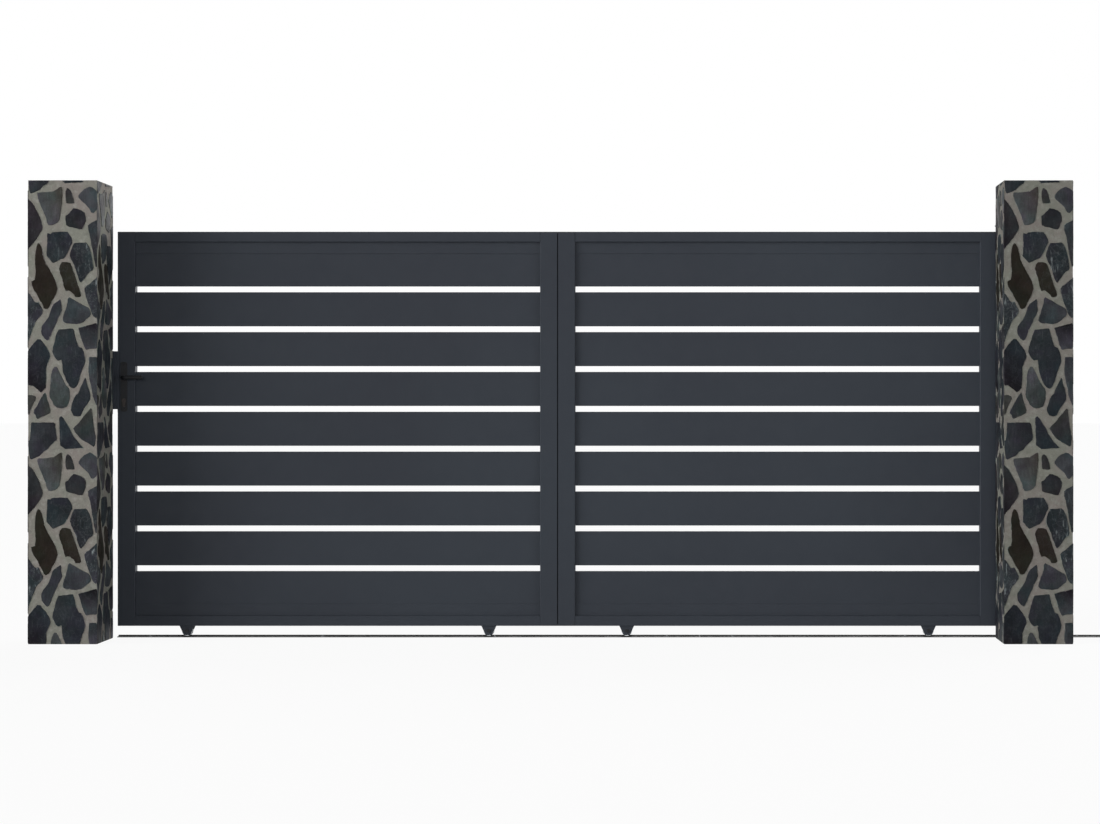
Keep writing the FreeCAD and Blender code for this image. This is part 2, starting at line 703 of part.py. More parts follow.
# Lock plates on both faces of the front stile, pierced for the neck and the cylinder.
def makeLockPlates(label):
    body = newBody(label)
    outline = newSketch(body, "XZ_Plane")
    half = dim.plate_wide / 2
    drawBox(outline, -half, half, -dim.plate_below, dim.plate_above)
    block = addPad(body, outline, plateBack * 2, middle=True)
    roundEdges(body, block, ACROSS, dim.plate_round)
    middle = newSketch(body, "XZ_Plane")
    drawBox(middle, -half * 2, half * 2, -dim.plate_below * 2, dim.plate_above * 2)
    cutBand(body, middle, leafHalf * 2)
    neck = newSketch(body, "XZ_Plane")
    drawCircle(neck, ZERO, ZERO, dim.neck_radius + dim.neck_fit)
    cutThrough(body, neck)
    drawBarrel(body, -dim.cylinder_drop, dim.lock_fit, cutThrough)
    placeAt(body, spindleX, leafAxis, dim.spindle_high)
    keepPiece(body)


# The profile cylinder runs through the stile and both plates.
def makeCylinder(label):
    body = newBody(label)
    length = (plateBack + dim.barrel_proud) * 2

    def padBarrel(owner, sketch):
        addPad(owner, sketch, length, middle=True)

    drawBarrel(body, ZERO, ZERO, padBarrel)
    placeAt(body, spindleX, leafAxis, dim.spindle_high - dim.cylinder_drop)
    keepPiece(body)


# The lock case sits in the stile behind its face plate at the leaf's end.
def makeLockCase(label):
    body = newBody(label)
    left = -dim.spindle_inset
    case = newSketch(body, "XZ_Plane")
    drawBox(case, left, left + dim.case_long, -dim.case_below, dim.case_above)
    addPad(body, case, dim.case_thick, middle=True)
    face = newSketch(body, "YZ_Plane", left - dim.face_thick)
    half = dim.face_wide / 2
    low = -dim.case_below - dim.face_over
    high = dim.case_above + dim.face_over
    drawBox(face, -half, half, low, high)
    addPad(body, face, dim.face_thick)
    hook = newSketch(body, "YZ_Plane", left)
    half = dim.hook_slot_wide / 2
    middle = -dim.cylinder_drop / 2
    tall = dim.hook_slot_tall / 2
    drawBox(hook, -half, half, middle - tall, middle + tall)
    cutBand(body, hook, dim.hook_slot_deep * 2)
    hole = newSketch(body, "XZ_Plane")
    diagonal = dim.spindle_square * math.sqrt(0.5)
    drawCircle(hole, ZERO, ZERO, diagonal + dim.spindle_play)
    cutThrough(body, hole)
    drawBarrel(body, -dim.cylinder_drop, dim.lock_fit, cutThrough)
    placeAt(body, spindleX, leafAxis, dim.spindle_high)
    keepPiece(body)


# Two levers on one square spindle: necks, bends and bars swept from a round section.
def makeLevers(label):
    body = newBody(label)
    neck = leafHalf
    bar = plateBack + dim.lever_reach
    shaft = newSketch(body, "XZ_Plane")
    half = dim.spindle_square / 2
    drawBox(shaft, -half, half, -half, half)
    addPad(body, shaft, neck * 2, middle=True)
    collar = newSketch(body, "XZ_Plane", neck)
    drawCircle(collar, ZERO, ZERO, dim.neck_radius)
    front = addPad(body, collar, dim.plate_thick + dim.neck_step)
    path = newSketch(body, "XY_Plane")
    bend = dim.lever_bend
    route = [(ZERO, -neck), (ZERO, bend - bar), (bend, -bar), (dim.lever_long, -bar)]
    drawLoop(path, route, arcs={1: (bend, -1)}, closed=False)
    section = newSketch(body, "XZ_Plane", neck)
    drawCircle(section, ZERO, ZERO, dim.lever_radius)
    sweep = body.newObject("PartDesign::AdditivePipe", f"{label}_sweep")
    sweep.Profile = section
    sweep.Spine = (path, [])
    mirror = body.newObject("PartDesign::Mirrored", f"{label}_mirror")
    mirror.Originals = [front, sweep]
    mirror.MirrorPlane = (originPart(body, "XZ_Plane"), [""])
    body.Tip = mirror
    doc.recompute()
    tips = []
    for number, edge in enumerate(mirror.Shape.Edges, start=1):
        if isinstance(edge.Curve, Part.Circle) and edge.CenterOfMass.x > dim.lever_long.value / 2:
            tips.append(f"Edge{number}")
    tip = body.newObject("PartDesign::Fillet", f"{label}_tip")
    tip.Base = (mirror, tips)
    bind(tip, "Radius", dim.lever_tip)
    placeAt(body, spindleX, leafAxis, dim.spindle_high)
    keepPiece(body)


# The top guide's bracket: an angle on the pillar's back with ribs and four studs.
def makeGuideBracket(label):
    body = newBody(label)
    thick = dim.guide_thick
    back = dim.pillar_deep / 2
    reach = leafAxis + rollerAxis + dim.guide_edge
    angle = newSketch(body, "YZ_Plane")
    corners = [(back, ZERO), (reach, ZERO), (reach, thick), (back + thick, thick)]
    corners += [(back + thick, dim.guide_flange), (back, dim.guide_flange)]
    drawLoop(angle, corners)
    addPad(body, angle, dim.guide_long)
    for start in (ZERO, dim.guide_long - thick):
        rib = newSketch(body, "YZ_Plane", start)
        low = thick
        foot = back + thick
        drawLoop(rib, [(foot, low), (foot + dim.rib_deep, low), (foot, low + dim.rib_tall)])
        addPad(body, rib, thick)
    screws = newSketch(body, "XZ_Plane", -(back + thick / 2))
    edge = dim.guide_hole_edge
    for across in (edge + thick, dim.guide_long - edge - thick):
        for up in (edge + thick, dim.guide_flange - edge):
            drawCircle(screws, across, up, dim.guide_hole)
    cutBand(body, screws, thick * 3)
    first = dim.roller_inset - dim.guide_margin
    drop = dim.guide_low - rollerLow
    for radius, low, high in (
        (dim.stud_radius, -drop - dim.stud_fit, ZERO),
        (dim.stud_head, -drop - dim.stud_fit - dim.stud_head_tall, -drop - dim.stud_fit),
    ):
        studs = newSketch(body, "XY_Plane", low)
        for along in (first, first + dim.roller_pitch):
            for away in (leafAxis - rollerAxis, leafAxis + rollerAxis):
                drawCircle(studs, along, away, radius)
        addPad(body, studs, high - low)
    placeAt(body, guideFace + dim.guide_margin, ZERO, dim.guide_low)
    keepPiece(body)


# Guide rollers: bored and barrel rounded, two pairs that hold the leaf between them.
def makeRollers(label):
    body = newBody(label)
    profile = newSketch(body, "XZ_Plane")
    bore = dim.stud_radius + dim.stud_fit
    ease = dim.roller_round
    flat = dim.roller_radius - ease
    tall = dim.roller_tall
    corners = [(bore, ZERO), (flat, ZERO), (dim.roller_radius, ease)]
    corners += [(dim.roller_radius, tall - ease), (flat, tall), (bore, tall)]
    drawLoop(profile, corners, arcs={1: (ease, -1), 3: (ease, -1)})
    turned = body.newObject("PartDesign::Revolution", f"{label}_turned")
    turned.Profile = profile
    turned.ReferenceAxis = (profile, ["V_Axis"])
    turned.Angle = 360
    repeatAlong(body, "X_Axis", 2, dim.roller_pitch)
    repeatAlong(body, "Y_Axis", 2, rollerAxis * 2)
    placeAt(body, guideFace + dim.roller_inset, leafAxis - rollerAxis, rollerLow)
    keepPiece(body)


makePillar("receiving_pillar", ZERO)
makePillar("guide_pillar", guidePillar)
makeGroundRail("ground_rail")
makeEndStop("rail_end_stop")
makeKeep("receiving_keep")
makeBuffers("rubber_buffers")
makeGuideBracket("guide_bracket")
makeRollers("guide_rollers")
panels = {"left": leafStart, "right": leafStart + panelLong}
farStile = panelLong - dim.stile_wide
makeStile("front_stile", leafStart, lock=True)
makeStile("left_meeting_stile", panels["left"] + farStile)
makeStile("right_meeting_stile", panels["right"])
makeStile("rear_stile", panels["right"] + farStile)
makeStile("tail_stile", tailStart)
makeCaps("stile_caps")
for side, start in panels.items():
    makeRail(f"{side}_top_rail", start, upper=True, slots=False)
    makeRail(f"{side}_bottom_rail", start, upper=False, slots=True)
    for number in range(int(dim.slat_count.value)):
        makeSlat(f"{side}_slat_{number + 1}", start, number)
makeForks("wheel_forks")
makeAxles("axle_bolts")
makeLockPlates("lock_plates")
makeCylinder("lock_cylinder")
makeLockCase("lock_case")
makeLevers("lever_handles")
wheelSpots = []
for start in panels.values():
    wheelSpots += [start + dim.wheel_inset, start + panelLong - dim.wheel_inset]
for number, across in enumerate(wheelSpots, start=1):
    makeWheel(f"running_wheel_{number}", across)

doc.recompute()
for item in doc.Objects:
    if "Invalid" in item.State or "Error" in item.State:
        raise RuntimeError(f"{item.Label} did not build: {item.State}")
for piece in pieces:
    if piece.Shape.isNull() or not piece.Shape.isValid():
        raise RuntimeError(f"{piece.Label} has no valid shape")

os.makedirs("parts", exist_ok=True)
for piece in pieces:
    piece.Shape.exportStep(f"parts/{piece.Label}.step")
    box = piece.Shape.BoundBox
    print(
        f"{piece.Label}: {len(piece.Shape.Solids)} solids, {piece.Shape.Volume / 1000:.1f} cm3,"
        f" x {box.XMin:.1f} {box.XMax:.1f} y {box.YMin:.1f} {box.YMax:.1f}"
        f" z {box.ZMin:.1f} {box.ZMax:.1f}"
    )
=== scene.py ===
import math

import bpy
from mathutils import Matrix, Vector, noise
from mathutils.geometry import delaunay_2d_cdt


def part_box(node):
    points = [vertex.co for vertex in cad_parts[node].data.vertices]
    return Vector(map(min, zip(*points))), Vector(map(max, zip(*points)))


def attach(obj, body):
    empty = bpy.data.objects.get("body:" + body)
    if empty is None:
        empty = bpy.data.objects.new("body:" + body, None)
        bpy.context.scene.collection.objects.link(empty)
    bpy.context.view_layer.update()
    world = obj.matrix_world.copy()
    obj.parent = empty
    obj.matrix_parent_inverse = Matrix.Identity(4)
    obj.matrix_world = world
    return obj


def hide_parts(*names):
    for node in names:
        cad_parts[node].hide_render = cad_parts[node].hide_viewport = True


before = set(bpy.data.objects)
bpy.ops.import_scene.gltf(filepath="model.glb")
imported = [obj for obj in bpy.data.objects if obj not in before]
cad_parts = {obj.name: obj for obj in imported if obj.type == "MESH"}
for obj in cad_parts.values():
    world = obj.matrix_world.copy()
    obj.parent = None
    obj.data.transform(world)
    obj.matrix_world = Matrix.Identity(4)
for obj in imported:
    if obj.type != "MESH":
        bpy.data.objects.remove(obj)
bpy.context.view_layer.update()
print("frame loaded:", len(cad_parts), "nodes")

mm = 0.001
noise.seed_set(7)  # without it noise_vector starts from the clock
mostOfNoise = (0.3, 0.7)  # nearly all values of a noise lie between these


def rgb(red, green, blue):
    # a colour as it looks on screen, 0 to 255, turned into the linear value that Blender wants
    def straighten(value):
        value /= 255
        return value / 12.92 if value <= 0.04045 else ((value + 0.055) / 1.055) ** 2.4
    return (straighten(red), straighten(green), straighten(blue), 1.0)


def addObject(name, data):
    thing = bpy.data.objects.new(name, data)
    bpy.context.scene.collection.objects.link(thing)
    return thing


def addNode(tree, kind, values=None, **settings):
    node = tree.nodes.new(kind)
    for name, value in settings.items():
        setattr(node, name, value)
    for socket, value in (values or {}).items():
        node.inputs[socket].default_value = value
    return node


def startMaterial(name):
    # a new material with its tree, its shader and the place on the object
    material = bpy.data.materials.new(name)
    material.use_nodes = True
    tree = material.node_tree
    place = addNode(tree, "ShaderNodeTexCoord").outputs["Object"]
    return material, tree, tree.nodes["Principled BSDF"], place


def attributeNode(tree, name, output="Fac"):
    return addNode(tree, "ShaderNodeAttribute", attribute_name=name).outputs[output]


def mathNode(tree, operation, first, second=0.0):
    node = addNode(tree, "ShaderNodeMath", operation=operation)
    for index, value in ((0, first), (1, second)):
        if isinstance(value, (int, float)):
            node.inputs[index].default_value = value
        else:
            tree.links.new(value, node.inputs[index])
    return node.outputs["Value"]


def stretched(tree, vector, scale):
    node = addNode(tree, "ShaderNodeMapping", {"Scale": scale})
    tree.links.new(vector, node.inputs["Vector"])
    return node.outputs["Vector"]


def noiseNode(tree, vector, scale, detail=3.0, roughness=0.5):
    values = {"Scale": scale, "Detail": detail, "Roughness": roughness}
    node = addNode(tree, "ShaderNodeTexNoise", values)
    tree.links.new(vector, node.inputs["Vector"])
    return node.outputs["Fac"]


def rangeNode(tree, value, span, result):
    # carries a value that lies in the first span over into the second one
    values = {"From Min": span[0], "From Max": span[1], "To Min": result[0], "To Max": result[1]}
    node = addNode(tree, "ShaderNodeMapRange", values)
    tree.links.new(value, node.inputs["Value"])
    return node.outputs["Result"]


def mixColour(tree, factor, first, second, blend="MIX"):
    node = addNode(tree, "ShaderNodeMix", data_type="RGBA", blend_type=blend)
    for index, source in ((0, factor), (6, first), (7, second)):
        if isinstance(source, (tuple, float, int)):
            node.inputs[index].default_value = source
        else:
            tree.links.new(source, node.inputs[index])
    return node.outputs[2]


def blendBy(tree, value, span, first, second, most=1.0):
    # the second colour comes over the first one as the value crosses its span
    return mixColour(tree, rangeNode(tree, value, span, (0.0, most)), first, second)


def shadeBy(tree, value, span, gain, base):
    # makes a colour darker and lighter, between the two gains
    return mixColour(tree, 1.0, base, rangeNode(tree, value, span, gain), "MULTIPLY")


def setSurface(tree, shader, base, rough, shine=0.5):
    tree.links.new(base, shader.inputs["Base Color"])
    tree.links.new(rough, shader.inputs["Roughness"])
    shader.inputs["Specular IOR Level"].default_value = shine


def bumpFrom(tree, shader, height, strength, distance, below=None):
    node = addNode(tree, "ShaderNodeBump", {"Strength": strength, "Distance": distance})
    tree.links.new(height, node.inputs["Height"])
    if below is not None:
        tree.links.new(below.outputs["Normal"], node.inputs["Normal"])
    tree.links.new(node.outputs["Normal"], shader.inputs["Normal"])
    return node


# powder coat: a fine grain, and tones that change slowly over the piece
coatLook = {
    "deep": rgb(46, 50, 57), "light": rgb(49, 54, 61), "cloudSize": 1.1, "cloudSpan": (0.35, 0.65),
    "grainSize": 1300.0, "grainSpan": (0.3, 0.75), "speckle": (0.93, 1.08), "grainBump": (0.35, 0.00012),
    "wearSize": 24.0, "rough": (0.50, 0.60), "shine": 0.14,
}
hardwareLook = dict(coatLook, deep=rgb(17, 18, 21), light=rgb(22, 23, 26), shine=0.22)
barrelLook = dict(coatLook, deep=rgb(38, 32, 29), light=rgb(46, 40, 37), shine=0.3)


def makeCoat(name, look):
    material, tree, shader, place = startMaterial(name)
    cloud = noiseNode(tree, place, look["cloudSize"], detail=2.0)
    grain = noiseNode(tree, place, look["grainSize"], detail=2.0)
    wear = noiseNode(tree, place, look["wearSize"], detail=5.0, roughness=0.65)
    base = blendBy(tree, cloud, look["cloudSpan"], look["deep"], look["light"])
    base = shadeBy(tree, grain, look["grainSpan"], look["speckle"], base)
    setSurface(tree, shader, base, rangeNode(tree, wear, mostOfNoise, look["rough"]), look["shine"])
    bumpFrom(tree, shader, grain, *look["grainBump"])
    return material


# metals: stained patches, zinc's spangle, and brush marks drawn out along one way
metalLook = {
    "stainSpan": (0.4, 0.66), "spangleSpan": (0.0, 0.8), "facetGain": (0.86, 1.1), "brushBump": 0.25,
}
trackLook = dict(
    metalLook, clean=rgb(30, 30, 29), dull=rgb(19, 19, 18), spangle=90.0, facets=0.6,
    stretch=(2.0, 60.0, 60.0), brush=12.0, brushDeep=0.00015, stain=14.0, metal=0.3, rough=(0.5, 0.68),
)
zincLook = dict(
    metalLook, clean=rgb(158, 161, 163), dull=rgb(120, 123, 125), spangle=110.0, facets=0.8,
    stretch=(1.0, 1.0, 1.0), brush=160.0, brushDeep=0.0001, stain=22.0, metal=0.85, rough=(0.34, 0.55),
)
steelLook = dict(
    metalLook, clean=rgb(172, 173, 172), dull=rgb(133, 132, 130), spangle=300.0, facets=0.2,
    stretch=(60.0, 60.0, 4.0), brush=40.0, brushDeep=0.00006, stain=60.0, metal=0.95, rough=(0.26, 0.42),
)


def makeMetal(name, look):
    material, tree, shader, place = startMaterial(name)
    spangle = addNode(tree, "ShaderNodeTexVoronoi", {"Scale": look["spangle"]})
    tree.links.new(place, spangle.inputs["Vector"])
    drawnOut = stretched(tree, place, look["stretch"])
    brush = noiseNode(tree, drawnOut, look["brush"], detail=4.0, roughness=0.6)
    stain = noiseNode(tree, place, look["stain"], detail=5.0, roughness=0.6)
    facet = rangeNode(tree, spangle.outputs["Distance"], look["spangleSpan"], look["facetGain"])
    base = blendBy(tree, stain, look["stainSpan"], look["clean"], look["dull"])
    base = mixColour(tree, look["facets"], base, facet, "MULTIPLY")
    setSurface(tree, shader, base, rangeNode(tree, stain, mostOfNoise, look["rough"]))
    shader.inputs["Metallic"].default_value = look["metal"]
    bumpFrom(tree, shader, brush, look["brushBump"], look["brushDeep"])
    return material


# plastics and rubber: a fine grain and scuffed patches
plasticLook = {
    "scuffSize": 70.0, "scuffSpan": (0.42, 0.75), "roughSpan": (0.35, 0.7), "grainBump": 0.3,
}
blackPlasticLook = dict(
    plasticLook, colour=rgb(30, 31, 33), scuffed=rgb(44, 45, 47), grain=1500.0, grainDeep=0.0001,
    rough=(0.42, 0.58), shine=0.3,
)
nylonLook = dict(
    plasticLook, colour=rgb(205, 203, 195), scuffed=rgb(176, 173, 163), grain=700.0, grainDeep=0.00005,
    rough=(0.32, 0.5), shine=0.45,
)
rubberLook = dict(
    plasticLook, colour=rgb(27, 27, 27), scuffed=rgb(46, 45, 43), grain=1100.0, grainDeep=0.00015,
    rough=(0.7, 0.85), shine=0.2,
)
# painted shade: a sealing rubber made nearly black and dull, darker than the rubber itself, so that it paints
# the seam's shadow line
sealAndShadeLook = dict(rubberLook, colour=rgb(7, 7, 9), scuffed=rgb(13, 13, 14), shine=0.04)


def makePlastic(name, look):
    material, tree, shader, place = startMaterial(name)
    grain = noiseNode(tree, place, look["grain"], detail=3.0, roughness=0.6)
    scuff = noiseNode(tree, place, look["scuffSize"], detail=6.0, roughness=0.7)
    base = blendBy(tree, scuff, look["scuffSpan"], look["colour"], look["scuffed"])
    rough = rangeNode(tree, scuff, look["roughSpan"], look["rough"])
    setSurface(tree, shader, base, rough, look["shine"])
    bumpFrom(tree, shader, grain, look["grainBump"], look["grainDeep"])
    return material


powderCoat = makeCoat("powderCoat", coatLook)
darkHardware = makeCoat("darkHardware", hardwareLook)
darkBarrel = makeCoat("darkBarrel", barrelLook)
trackSteel = makeMetal("trackSteel", trackLook)
zincSteel = makeMetal("zincSteel", zincLook)
brightSteel = makeMetal("brightSteel", steelLook)
blackPlastic = makePlastic("blackPlastic", blackPlasticLook)
paleNylon = makePlastic("paleNylon", nylonLook)
blackRubber = makePlastic("blackRubber", rubberLook)
sealAndShadeRubber = makePlastic("sealAndShadeRubber", sealAndShadeLook)

# which finish each carried-over piece takes; the first of these words in the node's name decides
finishFor = {
    "ground_rail": trackSteel, "rail_end_stop": zincSteel, "receiving_keep": powderCoat,
    "rubber_buffers": blackRubber, "guide_bracket": zincSteel, "guide_rollers": paleNylon,
    "stile_caps": blackPlastic, "wheel_forks": powderCoat, "axle_bolts": darkHardware,
    "lock_plates": darkHardware, "lock_cylinder": darkBarrel, "lock_case": brightSteel,
    "lever_handles": darkHardware, "running_wheel": zincSteel,
    "_stile": powderCoat, "_rail": powderCoat, "_slat": powderCoat,
}
for name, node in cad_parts.items():
    for word, finish in finishFor.items():
        if word in name:
            for slot in node.material_slots:
                slot.material = finish
            break
print("finishes set on the carried-over pieces")

# the stone cladding of the two pillars, sizes in mm
stoneLook = {
    "wide": 270.0, "tall": 1792.0, "underTop": 0.3,  # the stones end this far below the pillar's top
    "repeat": 1027.0, "leastTall": 4.0,  # the pattern starts again, and no stone is cut lower than this
    "joint": 2.5, "rooted": 1.0,  # the mortar's depth, and how far a stone goes on below it
    "edgeStep": 7.0, "closest": 1.0, "edgeNear": 0.5,  # points along an outline, and what lies on a corner
    "ragged": 1.3, "raggedSize": 0.3,  # how far these points are shaken
    "edgeSoft": 1.6, "edgeRound": 2.2, "firstRing": 0.9, "rimNear": 0.05,  # a stone's rounded edge
    "fill": 12.0, "fillClear": 2.0, "fillShake": 0.3, "weld": 0.01, "backWeld": 0.001,  # points on its face
    "relief": 0.35, "reliefSize": 0.022, "reliefBase": 0.8, "reliefNoise": (1.0, 2.1, 4), "lift": 0.25,
    "mortarStep": 13.0, "mortarRelief": 0.48, "mortarSize": 0.035, "mortarBase": 0.6,
    "mortarNoise": (1.0, 2.0, 3),
    "steep": 1.3, "edgeHighlight": 1.0, "edgeHighlightSize": 0.035, "edgeHighlightGain": 2.4, "edgeHighlightMost": 0.8,  # tones, painted highlights along stone edges
    "sheen": 0.008, "gain": 1.2,
}
# painted shade: the second pillar's stones and mortar are multiplied darker, as if it stood in duller light
paintedPillarShade = {"receiving_pillar": 1.0, "guide_pillar": 0.78}  # the second pillar stands in duller light
# tones as they are seen; the sheen of the white surroundings is taken off before they are used
stoneTones = {
    "night": rgb(31, 29, 33), "plum": rgb(41, 42, 46), "coal": rgb(49, 48, 50), "navy": rgb(42, 46, 51),
    "slate": rgb(49, 53, 56), "ash": rgb(56, 57, 55), "greyBlue": rgb(55, 58, 62), "grey": rgb(64, 63, 62),
    "pear": rgb(60, 66, 65), "mist": rgb(66, 68, 72), "pale": rgb(77, 80, 82), "moss": rgb(64, 62, 57),
    # the last of these is the pale colour of the painted highlights along stone edges
    "olive": rgb(39, 36, 31), "rust": rgb(48, 45, 40), "highlightPale": rgb(150, 152, 146),
}
# stones: two tones, which way in degrees the second one lies, how strongly they are flecked, and the
# outline in mm from a face's left edge and the ground
stones = [
    ("plum", "greyBlue", 190, 0.2, [
        (13, 857), (100, 857), (107, 850), (110, 830), (114, 800), (112, 788), (100, 778), (84, 762),
        (76, 750), (60, 742), (48, 728), (30, 720), (14, 713), (8, 718), (5, 735), (2, 760), (1, 785),
        (8, 790), (10, 810), (12, 835)]),
    ("navy", "navy", 0, 0.3, [
        (125, 878), (130, 882), (140, 872), (150, 855), (165, 833), (172, 815), (182, 800), (195, 782),
        (210, 765), (219, 757), (190, 756), (145, 753), (135, 762), (125, 768), (124, 800), (122, 850),
        (122, 872)]),
    ("slate", "ash", 97, 0.2, [
        (176, 833), (182, 842), (198, 856), (215, 880), (232, 899), (244, 912), (249, 906), (251, 885),
        (254, 860), (258, 830), (263, 805), (264, 790), (260, 768), (255, 762), (245, 768), (230, 778),
        (212, 788), (198, 800), (186, 815)]),
    ("slate", "ash", -16, 0.3, [
        (68, 974), (73, 962), (77, 942), (84, 922), (89, 905), (87, 893), (74, 885), (55, 877), (40, 869),
        (34, 873), (30, 885), (22, 893), (25, 905), (36, 922), (48, 945), (60, 965)]),
    ("ash", "grey", 0, 0.2, [
        (0, 963), (18, 963), (33, 956), (31, 946), (22, 928), (14, 908), (8, 890), (3, 884), (0, 884)]),
    ("pear", "pale", 84, 0.4, [
        (98, 1065), (103, 1072), (112, 1072), (118, 1062), (126, 1045), (133, 1030), (142, 1012),
        (150, 1000), (160, 988), (163, 975), (163, 950), (158, 930), (152, 917), (140, 912), (125, 910),
        (112, 914), (100, 925), (95, 938), (87, 950), (84, 965), (86, 990), (88, 1015), (90, 1040),
        (94, 1055)]),
    ("navy", "slate", 132, 0.2, [
        (222, 1031), (226, 1024), (231, 1005), (238, 985), (243, 960), (243, 945), (232, 928), (218, 910),
        (210, 893), (205, 881), (190, 879), (176, 883), (170, 895), (166, 905), (168, 918), (173, 935),
        (180, 952), (187, 963), (195, 968), (200, 985), (210, 1005)]),
    ("slate", "mist", 200, 0.4, [
        (236, 1110), (270, 1110), (270, 920), (264, 925), (258, 940), (251, 957), (247, 985), (240, 1012),
        (235, 1045), (234, 1065), (236, 1085)]),
    ("navy", "slate", 146, 0.3, [
        (119, 1215), (130, 1216), (150, 1218), (165, 1220), (176, 1220), (180, 1208), (184, 1190),
        (190, 1170), (198, 1150), (210, 1145), (217, 1130), (222, 1110), (224, 1095), (220, 1080),
        (213, 1065), (207, 1048), (203, 1030), (195, 1008), (188, 995), (180, 987), (168, 990), (158, 1000),
        (150, 1015), (143, 1035), (136, 1050), (133, 1080), (130, 1098), (117, 1095), (108, 1103),
        (100, 1118), (95, 1130), (98, 1150), (104, 1170), (108, 1190), (114, 1205)]),
    ("night", "mist", -102, 0.3, [
        (195, 1222), (215, 1228), (240, 1234), (262, 1240), (270, 1241), (270, 1141), (240, 1141),
        (230, 1137), (225, 1137), (218, 1150), (210, 1172), (205, 1190), (200, 1205)]),
    ("greyBlue", "mist", 39, 0.3, [
        (155, 1335), (161, 1341), (172, 1335), (190, 1325), (212, 1312), (235, 1300), (242, 1290),
        (245, 1275), (240, 1265), (230, 1258), (222, 1250), (208, 1240), (190, 1236), (165, 1238),
        (150, 1239), (140, 1243), (133, 1250), (138, 1270), (145, 1290), (150, 1305), (154, 1320)]),
    ("slate", "greyBlue", -123, 0.2, [
        (127, 1335), (130, 1325), (131, 1305), (134, 1290), (128, 1275), (118, 1258), (112, 1240),
        (104, 1225), (97, 1210), (90, 1190), (82, 1175), (75, 1172), (65, 1180), (55, 1195), (52, 1210),
        (53, 1225), (62, 1240), (72, 1252), (82, 1268), (88, 1285), (92, 1300), (100, 1315), (115, 1325)]),
    ("slate", "greyBlue", 12, 1.0, [
        (0, 1360), (10, 1350), (18, 1338), (26, 1325), (34, 1322), (42, 1325), (48, 1312), (60, 1290),
        (58, 1278), (46, 1262), (34, 1250), (28, 1235), (20, 1215), (12, 1192), (5, 1172), (0, 1158)]),
    ("olive", "olive", 0, 0.1, [
        (40, 1551), (48, 1546), (56, 1530), (61, 1508), (64, 1488), (74, 1466), (86, 1446), (97, 1426),
        (108, 1405), (113, 1388), (116, 1372), (110, 1352), (102, 1337), (95, 1325), (90, 1312), (82, 1299),
        (70, 1293), (62, 1299), (56, 1315), (46, 1330), (40, 1342), (33, 1356), (24, 1368), (16, 1385),
        (14, 1402), (26, 1408), (30, 1425), (30, 1450), (28, 1475), (29, 1510), (33, 1535)]),
    ("olive", "rust", 40, 0.25, [
        (132, 1476), (150, 1477), (165, 1472), (172, 1458), (180, 1435), (188, 1410), (196, 1385),
        (204, 1362), (208, 1345), (200, 1340), (185, 1340), (178, 1352), (165, 1362), (155, 1365),
        (146, 1362), (138, 1385), (133, 1410), (125, 1430), (120, 1450), (124, 1465)]),
    ("navy", "slate", -60, 0.4, [
        (76, 1588), (88, 1586), (95, 1592), (125, 1594), (155, 1593), (162, 1582), (172, 1565), (173, 1550),
        (165, 1535), (158, 1518), (148, 1500), (140, 1490), (125, 1484), (110, 1477), (98, 1472),
        (92, 1478), (80, 1492), (73, 1500), (73, 1520), (75, 1550), (75, 1575)]),
    ("plum", "slate", 34, 0.75, [
        (180, 1550), (200, 1551), (225, 1552), (232, 1545), (240, 1530), (246, 1512), (250, 1492),
        (253, 1470), (255, 1455), (252, 1445), (240, 1438), (230, 1425), (218, 1408), (208, 1396),
        (203, 1398), (198, 1408), (190, 1430), (184, 1450), (176, 1468), (168, 1485), (163, 1500),
        (165, 1515), (172, 1535)]),
    ("slate", "greyBlue", 216, 1.0, [
        (270, 1422), (262, 1413), (250, 1402), (238, 1391), (226, 1384), (219, 1374), (221, 1357),
        (226, 1338), (232, 1320), (240, 1300), (246, 1281), (254, 1266), (262, 1260), (270, 1260)]),
    ("night", "coal", 26, 0.2, [
        (0, 1722), (8, 1715), (18, 1705), (28, 1690), (38, 1670), (48, 1650), (55, 1630), (60, 1610),
        (57, 1598), (48, 1585), (38, 1570), (25, 1552), (12, 1538), (0, 1522)]),
    ("moss", "pale", 205, 0.3, [
        (37, 1745), (55, 1746), (75, 1747), (100, 1750), (110, 1756), (122, 1765), (134, 1768), (135, 1740),
        (133, 1710), (128, 1670), (124, 1640), (115, 1628), (105, 1622), (90, 1618), (80, 1619), (74, 1630),
        (70, 1650), (60, 1672), (50, 1695), (42, 1715), (37, 1735)]),
    ("coal", "ash", -145, 0.3, [
        (150, 1760), (156, 1762), (165, 1755), (172, 1742), (176, 1728), (180, 1712), (182, 1703),
        (170, 1701), (150, 1702), (147, 1715), (146, 1735), (147, 1750)]),
    ("mist", "mist", 0, 0.2, [
        (196, 1733), (205, 1745), (218, 1758), (232, 1764), (240, 1768), (252, 1764), (262, 1756),
        (270, 1752), (270, 1680), (262, 1672), (254, 1664), (245, 1668), (236, 1685), (222, 1700),
        (205, 1715), (196, 1725)]),
    ("plum", "coal", -90, 0.2, [
        (145, 1655), (155, 1660), (165, 1673), (178, 1685), (190, 1683), (208, 1676), (220, 1668),
        (226, 1650), (225, 1635), (218, 1615), (212, 1602), (200, 1602), (180, 1608), (160, 1612),
        (148, 1618), (145, 1640)]),
    ("coal", "greyBlue", 80, 0.5, [
        (270, 1640), (258, 1634), (242, 1626), (233, 1618), (234, 1600), (240, 1580), (244, 1555),
        (250, 1520), (256, 1485), (262, 1458), (270, 1455)]),
    ("night", "navy", 45, 0.3, [
        (0, 1133), (20, 1160), (38, 1180), (50, 1178), (72, 1150), (86, 1127), (89, 1110), (81, 1090),
        (73, 1070), (73, 1020), (70, 990), (58, 976), (50, 972), (38, 984), (20, 997), (0, 1000)]),
]


